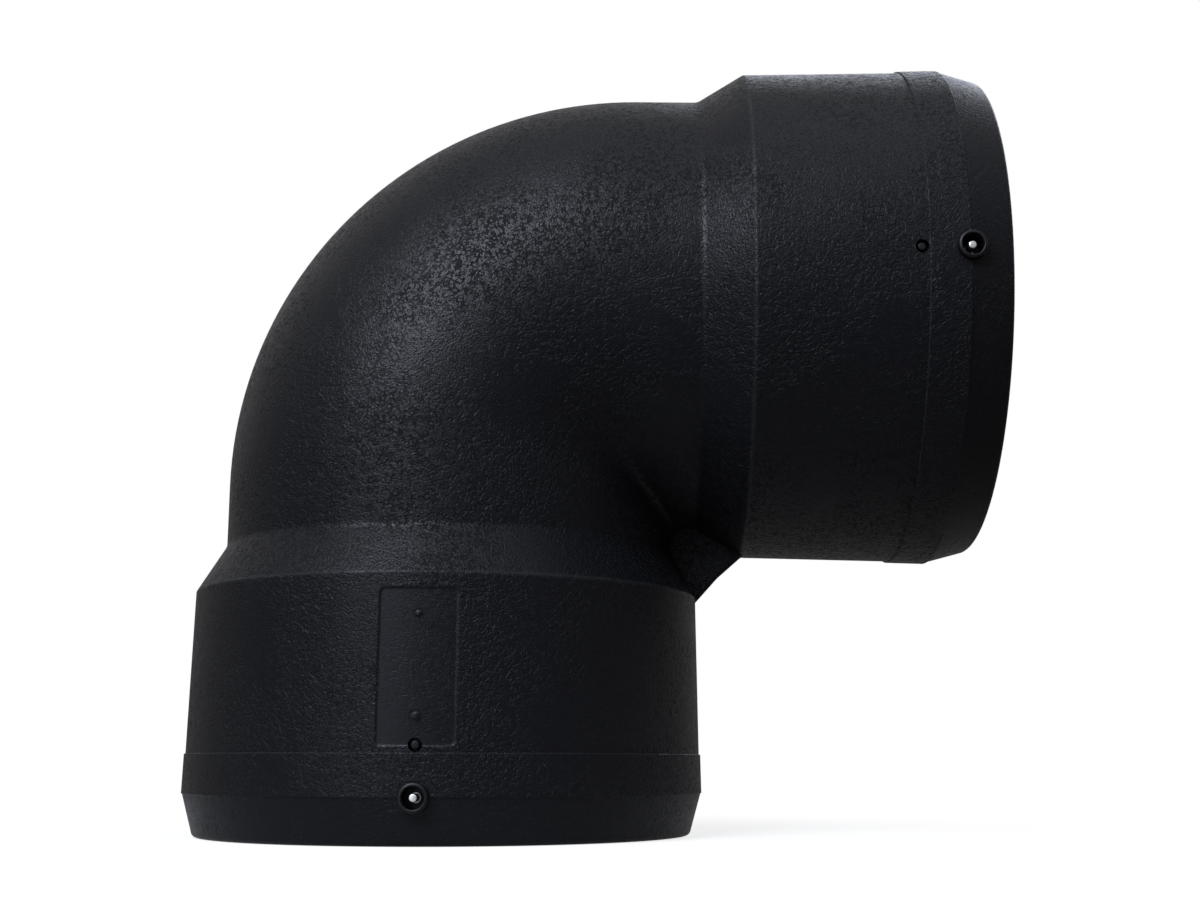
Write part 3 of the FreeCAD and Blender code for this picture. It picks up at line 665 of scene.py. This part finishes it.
def barrel_radius(socket, depth):
    """Outside radius of the drafted barrel at a depth."""
    taper = (socket.barrel - socket.shoulder) / (socket.shoulder_depth - socket.band_end_depth)
    return socket.barrel - taper * (depth - socket.band_end_depth)


def socket_outside(socket, field):
    """Outline of a socket from its bore's edge to the end of its barrel, as radii, depths and roundings."""
    corners = [
        (socket.bore + socket.lead_in, 0, 0),
        (socket.mouth, 0, socket.mouth_round),
        (socket.skirt_end, socket.skirt_length, 0),
        (socket.band, socket.skirt_length, 0.0002),
        (socket.band_end, socket.band_end_depth, socket.edge_round),
        (socket.barrel, socket.band_end_depth, 0.0001),
    ]
    # Rows lie close together where the marking field's slope and corners cross them
    field_end = field.start + field.extent
    before, beyond = 0.0012, 0.0014
    inwards, step = field.corner + 2 * field.edge, field.edge * 0.8
    rows = [*np.arange(field.start - before, field.start + inwards, step),
            *np.linspace(field.start + inwards, field_end - inwards, 10)[1:-1],
            *np.arange(field_end - inwards, field_end + beyond, step)]
    rows.append(socket.shoulder_depth - socket.shoulder_round)
    corners += [(barrel_radius(socket, row), row, 0) for row in rows]
    return [*corners, (socket.shoulder, socket.shoulder_depth, socket.shoulder_round)]


def bend_columns(settings):
    """Angles of the columns round the moulding, closer at the marking field and at the web."""
    socket = settings.socket
    half = settings.field.arc / 2
    inwards, outwards = 0.028, 0.011
    field_angles = [FRONT + side * angle for side in (-1, 1)
                    for angle in np.linspace(half - inwards, half + outwards, 11)]
    web_angles = [side * math.asin(offset / socket.shoulder) for side in (-1, 1)
                  for offset, _ in web_slope(settings.bend.web_half)]
    # The even columns stop short of both
    off_edge, off_web = 0.036, 0.06
    even_angles = [angle for angle in np.arange(socket.columns) * FULL_TURN / socket.columns - math.pi
                   if min(abs(angle - FRONT - half), abs(angle - FRONT + half)) >= off_edge
                   and abs(angle) > off_web]
    return np.array(sorted({round(angle, 7) for angle in even_angles + field_angles + web_angles}))


def web_slope(half):
    """Offsets from the middle plane, each with its share of the way from the web's edge to its foot."""
    # The edge is rounded by less than 1 mm, the side is nearly upright, and the foot curves out over 3 mm
    return [(0, 0), (half - 0.001, 0), (half - 0.0005, 0.004), (half - 0.00015, 0.014), (half, 0.03),
            (half + 0.00001, 0.06), (half + 0.00003, 0.5), (half + 0.00006, 0.86), (half + 0.0001, 0.9),
            (half + 0.0003, 0.945), (half + 0.0008, 0.975), (half + 0.0017, 0.993), (half + 0.003, 1)]


def half_elbow(profile, radius, bend, angles, web=None):
    """Rows of points from a socket's mouth, along its profile and half of the bend, to the mitre plane."""
    cosines, sines = np.cos(angles), np.sin(angles)
    shares = np.ones(len(angles))
    parallel = np.zeros(len(angles))
    if web:
        offsets = np.abs(web["radius"] * sines)
        slope = np.array(web_slope(bend.web_half))
        shares = np.where(cosines > 0, np.interp(offsets, slope[:, 0], slope[:, 1]), 1)
        parallel = np.where(cosines > 0, eased((PARALLEL_REACH - offsets) / PARALLEL_FADE), 0)

    def ring(ring_radius):
        """Points of a circle about the axis, with the columns beside the web kept parallel to it."""
        across = sines * ring_radius
        if web:
            across = (1 - parallel) * across + parallel * sines * web["radius"]
        return np.sign(cosines) * np.sqrt(np.maximum(ring_radius ** 2 - across ** 2, 0)), across

    rows = [np.stack([*ring(row_radius), np.full(len(angles), depth)], -1) for row_radius, depth in profile]
    towards_crotch, across = ring(radius)
    gap = bend.centre_line - towards_crotch
    beside_web = eased((CROTCH_REACH - np.abs(across)) / CROTCH_FADE) * (cosines > 0)
    least_round = bend.crease + (bend.crotch - bend.crease) * beside_web
    rounding = 0.5 * (gap + least_round + np.sqrt((gap - least_round) ** 2 + bend.crease ** 2))
    arc_start = AXIS_HEIGHT - towards_crotch - rounding
    leg_start = profile[-1][1]
    for part in (0.3, 0.6, 0.85, 1):
        rows.append(np.stack([towards_crotch, across, leg_start + (arc_start - leg_start) * part], -1))
    for row in range(1, bend.arc_rows + 1):
        turn = math.radians(45) * row / bend.arc_rows
        rows.append(np.stack([towards_crotch + rounding * (1 - math.cos(turn)), across,
                              arc_start + rounding * math.sin(turn)], -1))
    rows = np.array(rows)
    if web:
        first = int(np.searchsorted([depth for _, depth in profile], web["depth"] - 1e-6))
        path = rows[first:]
        steps = np.linalg.norm(np.diff(path, axis=0), axis=2)
        along = np.concatenate([np.zeros((1, len(angles))), np.cumsum(steps, axis=0)])
        along = (along / along[-1])[..., None]
        middle = (web["radius"] + AXIS_HEIGHT - web["end_depth"]) / 2
        crest = np.stack([np.full(len(angles), middle), path[0, :, 1],
                          np.full(len(angles), AXIS_HEIGHT - middle)], -1)
        straight = path[0] + (crest - path[0]) * along
        rows[first:] = straight + (path - straight) * shares[None, :, None]
    return rows


def pressed_field(points, field):
    """Points of the lower socket's outside, pressed in at the marking field."""
    radii = np.hypot(points[..., 0], points[..., 1])
    angles = np.abs(np.arctan2(points[..., 1], points[..., 0]) - FRONT)
    across = angles * radii - (field.arc / 2 * radii - field.corner)
    along = np.abs(points[..., 2] - field.start - field.extent / 2) - (field.extent / 2 - field.corner)
    outside = np.hypot(np.maximum(across, 0), np.maximum(along, 0)) + np.minimum(np.maximum(across, along), 0)
    inwards = eased((field.corner - outside) / field.edge)
    points[..., :2] *= (1 - inwards * field.recess / radii)[..., None]
    return points


def bore_profile(settings):
    """Outline of a bore from the lead-in to the passage, as radii and depths."""
    socket, coil, bend = settings.socket, settings.coil, settings.bend
    return rounded_line([
        (socket.bore + socket.lead_in, 0, 0),
        (socket.bore, socket.lead_in, 0.0004),
        (socket.bore, coil.start - 0.0006, 0.0003),
        (coil.zone, coil.start, 0.0003),
        (coil.zone, coil.end, 0.0003),
        (socket.bore, coil.end + 0.0006, 0.0003),
        (socket.bore, socket.bore_depth, 0.0005),
        (bend.passage + bend.stop_chamfer, socket.bore_depth, 0.0005),
        (bend.passage, socket.bore_depth + bend.stop_chamfer, 0.001),
        (bend.passage, socket.bore_depth + bend.stop_chamfer + 0.01, 0),
    ], 3)


def shell_faces(rows, columns):
    """Faces of a shell whose rows and columns are both joined end to end."""
    faces = []
    for row in range(rows):
        for column in range(columns):
            over, beside = (row + 1) % rows, (column + 1) % columns
            faces.append((row * columns + column, row * columns + beside,
                          over * columns + beside, over * columns + column))
    return faces


def joined(parts):
    """Several lists of points and faces as one."""
    points, faces, total = [], [], 0
    for part_points, part_faces in parts:
        points.append(part_points)
        faces += [tuple(corner + total for corner in face) for face in part_faces]
        total += len(part_points)
    return np.concatenate(points), faces


def cut_with(piece, parts):
    """The piece with the closed parts cut out of it."""
    points, faces = joined(parts)
    cutter = mesh_object("cutter", points, faces, [])
    cut = piece.modifiers.new("cut", "BOOLEAN")
    cut.operation = "DIFFERENCE"
    cut.solver = "EXACT"
    cut.object = cutter
    applied(piece)
    merge_points(piece.data, SLIVER)
    bpy.data.objects.remove(cutter)


def from_axis(points, bend):
    """Depth from the nearer mouth, and distance from the elbow's centre line, of each point."""
    x, y, z = points.T
    depth = np.minimum(z, AXIS_HEIGHT - x)
    aside = np.where(z <= AXIS_HEIGHT - x, x, AXIS_HEIGHT - z)
    level = AXIS_HEIGHT - bend.centre_line
    beyond = np.hypot(x - bend.centre_line, z - level) - bend.centre_line
    return depth, np.where(depth < level, np.hypot(aside, y), np.hypot(beyond, y))


def seat_cutters(settings):
    """Closed shapes of the terminals' seats and the indicators' wells."""
    terminal = settings.terminal
    play = 0.0001
    inner_end, outer_end = terminal.shank_end - 0.003, terminal.rim + 0.01
    seat = rounded_line([
        (0, inner_end, 0),
        (terminal.shank + play / 2, inner_end, 0),
        (terminal.shank + play / 2, terminal.foot_end, 0),
        (terminal.foot + play / 2, terminal.foot_end, 0),
        (terminal.foot + play / 2, terminal.seat, 0),
        (terminal.collar + play, terminal.seat, 0),
        (terminal.collar + play, outer_end, 0),
        (0, outer_end, 0),
    ])
    well = rounded_line([
        (0, terminal.indicator_floor, 0),
        (terminal.indicator_well, terminal.indicator_floor, 0),
        (terminal.indicator_well, terminal.rim, 0),
        (0, terminal.rim, 0),
    ])
    parts = []
    for socket in SOCKETS:
        for side in TERMINAL_ENDS.values():
            points, faces = turned_points(seat, 40)
            parts.append((place_on_socket(standing_out(points, TERMINAL_DEPTH, side), socket), faces))
        points, faces = turned_points(well, 32)
        parts.append((place_on_socket(standing_out(points, INDICATOR_DEPTH, -1), socket), faces))
    return parts


def imprint_cutters(settings):
    """Closed shapes of the two round imprints, which leave a low dome in their middle."""
    field, socket = settings.field, settings.socket
    above = 0.004
    parts = []
    for depth, radius in ((field.near_depth, field.near_radius), (field.far_depth, field.far_radius)):
        surface = barrel_radius(socket, depth) - field.recess
        floor = surface - field.imprint_recess
        dome = [(radius - field.ring) * part for part in (0, 0.35, 0.65, 0.85, 1)]
        fall = [field.imprint_recess * part for part in (0.85, 0.78, 0.55, 0.3, 0)]
        line = [(across, floor + rise) for across, rise in zip(dome, fall)]
        line += [(radius - 0.0001, floor), (radius, floor + 0.0001), (radius, surface + above),
                 (0, surface + above)]
        points, faces = turned_points(line, 32)
        parts.append((standing_out(points, depth, -1), faces))
    return parts


def lead_cutters(settings):
    """Closed boxes of the grooves in the bores where the coils' leads run to their pins."""
    terminal, coil = settings.terminal, settings.coil
    half = terminal.lead_groove
    outer, inner = coil.centre + coil.wire + 0.0002, coil.centre - 0.006
    faces = [(0, 2, 3, 1), (4, 5, 7, 6), (0, 1, 5, 4), (2, 6, 7, 3), (0, 4, 6, 2), (1, 3, 7, 5)]
    parts = []
    for socket in SOCKETS:
        for side in TERMINAL_ENDS.values():
            points = np.array([(across, side * out, depth) for across in (-half, half)
                               for out in (inner, outer) for depth in (TERMINAL_DEPTH, coil.first)])
            parts.append((place_on_socket(points, socket), faces))
    return parts


def make_moulding(settings):
    """The elbow's one moulding: two sockets, the bend, the web, and its seats, wells and field."""
    socket, bend = settings.socket, settings.bend
    angles = bend_columns(settings)
    web = {"radius": socket.shoulder, "depth": socket.shoulder_depth - socket.shoulder_round,
           "end_depth": socket.shoulder_depth}
    outside = rounded_line([
        *socket_outside(socket, settings.field),
        (bend.leg, socket.shoulder_end_depth, bend.foot_round),
        (bend.leg, socket.shoulder_end_depth + bend.foot_round / 3, 0),
    ])
    bore = bore_profile(settings)
    outer = half_elbow(outside, bend.leg, bend, angles, web)
    inner = half_elbow(bore, bend.passage, bend, angles)
    rows = np.concatenate([
        pressed_field(outer.copy(), settings.field),
        to_side_socket(outer)[::-1][1:],
        to_side_socket(inner)[1:],
        inner[::-1][1:-1],
    ])
    piece = mesh_object("elbow_moulding", rows.reshape(-1, 3), shell_faces(len(rows), len(angles)), [])
    cut_with(piece, seat_cutters(settings) + imprint_cutters(settings))
    cut_with(piece, lead_cutters(settings))
    mesh = piece.data
    mesh.materials.clear()
    mesh.materials.append(moulded_polyethylene(settings))
    mesh.materials.append(bored_polyethylene(settings))
    centres = np.empty(len(mesh.polygons) * 3)
    mesh.polygons.foreach_get("center", centres)
    depth, distance = from_axis(centres.reshape(-1, 3), bend)
    inside = (distance < (bend.leg + bend.passage) / 2) | (
        (depth < socket.bore_depth + 0.002) & (distance < socket.bore + socket.lead_in))
    mesh.polygons.foreach_set("material_index", inside.astype(int))
    mesh.shade_smooth()
    mesh.set_sharp_from_angle(angle=math.radians(38))
    even = piece.modifiers.new("even", "WEIGHTED_NORMAL")
    even.keep_sharp = True
    applied(piece)
    stand_in(piece, "elbow_body")


# Coil by geometry nodes

def coil_tree():
    """A node tree that winds a wire in and back along a bore, with a lead to each terminal."""
    tree = bpy.data.node_groups.new("coil_winding", "GeometryNodeTree")
    sockets = tree.interface
    sockets.new_socket("Geometry", in_out="INPUT", socket_type="NodeSocketGeometry")
    for name in ("Wire radius", "Wire circle", "Turns", "Pitch", "First turn", "Terminal depth"):
        sockets.new_socket(name, in_out="INPUT", socket_type="NodeSocketFloat")
    sockets.new_socket("Material", in_out="INPUT", socket_type="NodeSocketMaterial")
    sockets.new_socket("Geometry", in_out="OUTPUT", socket_type="NodeSocketGeometry")
    given = add(tree, "NodeGroupInput")
    circle, turns, pitch = given["Wire circle"], given["Turns"], given["Pitch"]
    first, terminal = given["First turn"], given["Terminal depth"]

    rise = add(tree, "ShaderNodeMath", {0: turns, 1: pitch}, operation="MULTIPLY")[0]
    going_in = add(tree, "GeometryNodeCurveSpiral",
                   {"Resolution": 96, "Rotations": turns, "Start Radius": circle,
                    "End Radius": circle, "Height": rise})[0]
    first_place = add(tree, "ShaderNodeCombineXYZ", {2: first})[0]
    going_in = add(tree, "GeometryNodeTransform", {"Geometry": going_in, "Translation": first_place,
                                                   "Rotation": (0, 0, FRONT)})[0]

    back_turns = add(tree, "ShaderNodeMath", {0: turns, 1: 0.5}, operation="SUBTRACT")[0]
    back_rise = add(tree, "ShaderNodeMath", {0: back_turns, 1: pitch}, operation="MULTIPLY")[0]
    coming_back = add(tree, "GeometryNodeCurveSpiral",
                      {"Resolution": 96, "Rotations": back_turns, "Start Radius": circle,
                       "End Radius": circle, "Height": back_rise})[0]
    back_first = add(tree, "ShaderNodeMath", {0: first, 1: pitch}, operation="ADD")[0]
    back_place = add(tree, "ShaderNodeCombineXYZ", {2: back_first})[0]
    coming_back = add(tree, "GeometryNodeTransform", {"Geometry": coming_back, "Translation": back_place,
                                                      "Rotation": (0, 0, -FRONT)})[0]

    # The wire turns round at the far end of the coil, in a loop a half pitch wide
    angle = add(tree, "ShaderNodeMath", {0: turns, 1: FULL_TURN, 2: FRONT}, operation="MULTIPLY_ADD")[0]
    loop_x = add(tree, "ShaderNodeMath", {0: angle}, operation="COSINE")[0]
    loop_y = add(tree, "ShaderNodeMath", {0: angle}, operation="SINE")[0]
    loop_x = add(tree, "ShaderNodeMath", {0: loop_x, 1: circle}, operation="MULTIPLY")[0]
    loop_y = add(tree, "ShaderNodeMath", {0: loop_y, 1: circle}, operation="MULTIPLY")[0]
    quarter = add(tree, "ShaderNodeMath", {0: pitch, 1: 0.25}, operation="MULTIPLY")[0]
    loop_z = add(tree, "ShaderNodeMath", {0: rise, 1: quarter}, operation="ADD")[0]
    loop_z = add(tree, "ShaderNodeMath", {0: loop_z, 1: first}, operation="ADD")[0]
    loop_turn = add(tree, "ShaderNodeMath", {0: angle, 1: math.pi / 2}, operation="ADD")[0]
    loop = add(tree, "GeometryNodeCurveArc", {"Resolution": 24, "Radius": quarter, "Start Angle": FRONT,
                                              "Sweep Angle": math.pi}, mode="RADIUS")[0]
    loop = add(tree, "GeometryNodeTransform", {
        "Geometry": loop,
        "Translation": add(tree, "ShaderNodeCombineXYZ", {0: loop_x, 1: loop_y, 2: loop_z})[0],
        "Rotation": add(tree, "ShaderNodeCombineXYZ", {0: math.pi / 2, 2: loop_turn})[0],
    })[0]

    front = add(tree, "ShaderNodeMath", {0: circle, 1: -1.0}, operation="MULTIPLY")[0]
    leads = [
        add(tree, "GeometryNodeCurvePrimitiveLine", {
            "Start": add(tree, "ShaderNodeCombineXYZ", {1: across, 2: terminal})[0],
            "End": add(tree, "ShaderNodeCombineXYZ", {1: across, 2: end})[0],
        })[0]
        for across, end in ((front, first), (circle, back_first))
    ]
    wire = add(tree, "GeometryNodeJoinGeometry", {"Geometry": [going_in, coming_back, loop, *leads]})[0]
    section = add(tree, "GeometryNodeCurvePrimitiveCircle",
                  {"Resolution": 10, "Radius": given["Wire radius"]})[0]
    wire = add(tree, "GeometryNodeCurveToMesh",
               {"Curve": wire, "Profile Curve": section, "Fill Caps": True})[0]
    wire = add(tree, "GeometryNodeRealizeInstances", {"Geometry": wire})[0]
    wire = add(tree, "GeometryNodeSetShadeSmooth", {"Geometry": wire})[0]
    wire = add(tree, "GeometryNodeSetMaterial", {"Geometry": wire, "Material": given["Material"]})[0]
    add(tree, "NodeGroupOutput", {"Geometry": wire})
    return tree


def make_coil(settings, socket, tree):
    """The heating coil of a socket, wound by the node tree."""
    coil = settings.coil
    piece = bpy.data.objects.new(f"{socket}_coil_winding", bpy.data.meshes.new(f"{socket}_coil_winding"))
    bpy.context.collection.objects.link(piece)
    winding = piece.modifiers.new("winding", "NODES")
    winding.node_group = tree
    values = {
        "Wire radius": coil.wire, "Wire circle": coil.centre, "Turns": coil.turns, "Pitch": coil.pitch,
        "First turn": coil.first, "Terminal depth": TERMINAL_DEPTH,
        "Material": drawn_resistance_wire(settings),
    }
    for item in tree.interface.items_tree:
        if item.in_out == "INPUT" and item.name in values:
            winding[item.identifier] = values[item.name]
    applied(piece)
    if socket == "side":
        mesh = piece.data
        mesh.transform(Matrix(((0, 0, -1, AXIS_HEIGHT), (0, 1, 0, 0), (-1, 0, 0, AXIS_HEIGHT), (0, 0, 0, 1))))
        mesh.flip_normals()
    stand_in(piece, f"{socket}_heating_coil")


# One operator for each piece or group of like pieces

class MakeMoulding(bpy.types.Operator):
    """Make the elbow's moulding in place of its plain solid"""
    bl_idname = "elbow.make_moulding"
    bl_label = "Moulding"

    def execute(self, context):
        make_moulding(context.scene.elbow)
        return {"FINISHED"}


class MakeCoils(bpy.types.Operator):
    """Wind the heating coil of each socket"""
    bl_idname = "elbow.make_coils"
    bl_label = "Heating coils"

    def execute(self, context):
        tree = coil_tree()
        for socket in SOCKETS:
            make_coil(context.scene.elbow, socket, tree)
        return {"FINISHED"}


class MakeTerminals(bpy.types.Operator):
    """Turn the contact pins and the collars round them"""
    bl_idname = "elbow.make_terminals"
    bl_label = "Terminals"

    def execute(self, context):
        settings = context.scene.elbow
        sizes = settings.terminal
        collar = [
            (sizes.shank, sizes.seat, 0),
            (sizes.collar, sizes.seat, 0),
            (sizes.collar, sizes.rim, sizes.rim_round),
            (sizes.well, sizes.rim, 0.0005),
            (sizes.well, sizes.well_floor, 0.0004),
            (sizes.shank, sizes.well_floor, 0),
            (sizes.shank, sizes.seat, 0),
        ]
        pin = [
            (0, sizes.shank_end, 0),
            (sizes.shank, sizes.shank_end, 0),
            (sizes.shank, sizes.foot_end, 0),
            (sizes.foot, sizes.foot_end, 0),
            (sizes.foot, sizes.seat, 0),
            (sizes.shank, sizes.seat, 0),
            (sizes.shank, sizes.well_floor, 0),
            (sizes.pin, sizes.well_floor, 0),
            (sizes.pin, sizes.pin_end, 0.0006),
            (0, sizes.pin_end, 0),
        ]
        plastic, metal = polished_polyethylene(settings), tin_plated_brass(settings)
        for socket in SOCKETS:
            for end, side in TERMINAL_ENDS.items():
                name = f"{socket}_{end}_terminal"
                piece = turned_piece(f"{name}_collar", collar, TERMINAL_DEPTH, side, socket, plastic, 64)
                stand_in(piece, f"{name}_shroud")
                piece = turned_piece(f"{name}_contact", pin, TERMINAL_DEPTH, side, socket, metal)
                stand_in(piece, f"{name}_pin")
        return {"FINISHED"}


class MakeIndicators(bpy.types.Operator):
    """Turn the fusion indicator pins that sit in their wells"""
    bl_idname = "elbow.make_indicators"
    bl_label = "Fusion indicators"

    def execute(self, context):
        settings = context.scene.elbow
        sizes = settings.terminal
        pin = [
            (0, sizes.indicator_base, 0),
            (sizes.indicator, sizes.indicator_base, 0),
            (sizes.indicator, sizes.indicator_end, 0.0005),
            (0, sizes.indicator_end, 0),
        ]
        for socket in SOCKETS:
            piece = turned_piece(f"{socket}_indicator_pin", pin, INDICATOR_DEPTH, -1, socket,
                                 polished_polyethylene(settings))
            stand_in(piece, f"{socket}_fusion_indicator")
        return {"FINISHED"}


class MakeStage(bpy.types.Operator):
    """Make the floor, the lamps, the background and the camera"""
    bl_idname = "elbow.make_stage"
    bl_label = "Stage"

    def execute(self, context):
        stage = context.scene.elbow.stage
        half = stage.board
        floor = bpy.data.meshes.new("floor")
        floor.from_pydata([(-half, -half, -FLOOR_DROP), (half, -half, -FLOOR_DROP), (half, half, -FLOOR_DROP),
                           (-half, half, -FLOOR_DROP)], [], [(0, 1, 2, 3)])
        floor.materials.append(matt_floor(stage))
        floor = bpy.data.objects.new("floor", floor)
        context.collection.objects.link(floor)
        context.scene.world = pale_room(stage)

        for name, watts, place, (width, height) in (
                ("key", stage.key, (-0.6, -1.15, 1.2), (0.8, 0.8)),
                ("strip", stage.strip, (-0.55, -1.35, 0.3), (0.6, 1.0)),
                ("fill", stage.fill, (0.25, -0.75, 1.7), (1.7, 1.7)),
                ("rear", stage.rear, (0.75, 1.15, 1.15), (1.0, 1.0))):
            lamp = bpy.data.lights.new(name, "AREA")
            lamp.shape = "RECTANGLE"
            lamp.size, lamp.size_y = width, height
            lamp.energy = watts
            lamp.color = stage.lamp
            lamp = bpy.data.objects.new(name, lamp)
            lamp.location = place
            towards_elbow = Vector(stage.aim) - Vector(place)
            lamp.rotation_euler = towards_elbow.to_track_quat("-Z", "Y").to_euler()
            context.collection.objects.link(lamp)

        camera = bpy.data.cameras.new("camera")
        camera.lens = stage.lens
        camera.sensor_width = 36
        camera.shift_x, camera.shift_y = stage.camera_shift
        camera.clip_start = 0.01
        camera = bpy.data.objects.new("camera", camera)
        camera.location = stage.camera_place
        camera.rotation_euler = stage.camera_turn
        context.collection.objects.link(camera)
        context.scene.camera = camera
        context.scene.view_settings.view_transform = "Standard"
        return {"FINISHED"}


OPERATORS = (MakeMoulding, MakeCoils, MakeTerminals, MakeIndicators, MakeStage)


class ElbowPanel(bpy.types.Panel):
    """Sizes, colours and pieces of the elbow"""
    bl_idname = "VIEW3D_PT_elbow"
    bl_label = "Electrofusion elbow"
    bl_space_type = "VIEW_3D"
    bl_region_type = "UI"
    bl_category = "Elbow"

    def draw(self, context):
        settings = context.scene.elbow
        for group in ("socket", "bend", "coil", "terminal", "field", "finish", "stage"):
            box = self.layout.box()
            box.label(text=group.capitalize())
            values = getattr(settings, group)
            for name in values.__annotations__:
                box.prop(values, name)
        for operator in OPERATORS:
            self.layout.operator(operator.bl_idname)


CLASSES = (ElbowSocketSizes, ElbowBendSizes, ElbowCoilSizes, ElbowTerminalSizes, ElbowFieldSizes, ElbowFinish,
           ElbowStage, ElbowSettings, *OPERATORS, ElbowPanel)


def register():
    """Register the classes and hang the settings on the scene."""
    for kind in CLASSES:
        bpy.utils.register_class(kind)
    bpy.types.Scene.elbow = bpy.props.PointerProperty(type=ElbowSettings)


def unregister():
    """Undo register."""
    del bpy.types.Scene.elbow
    for kind in reversed(CLASSES):
        bpy.utils.unregister_class(kind)


def main():
    """Make all pieces and the stage."""
    register()
    for operator in OPERATORS:
        group, name = operator.bl_idname.split(".")
        getattr(getattr(bpy.ops, group), name)()


if __name__ == "__main__":
    main()
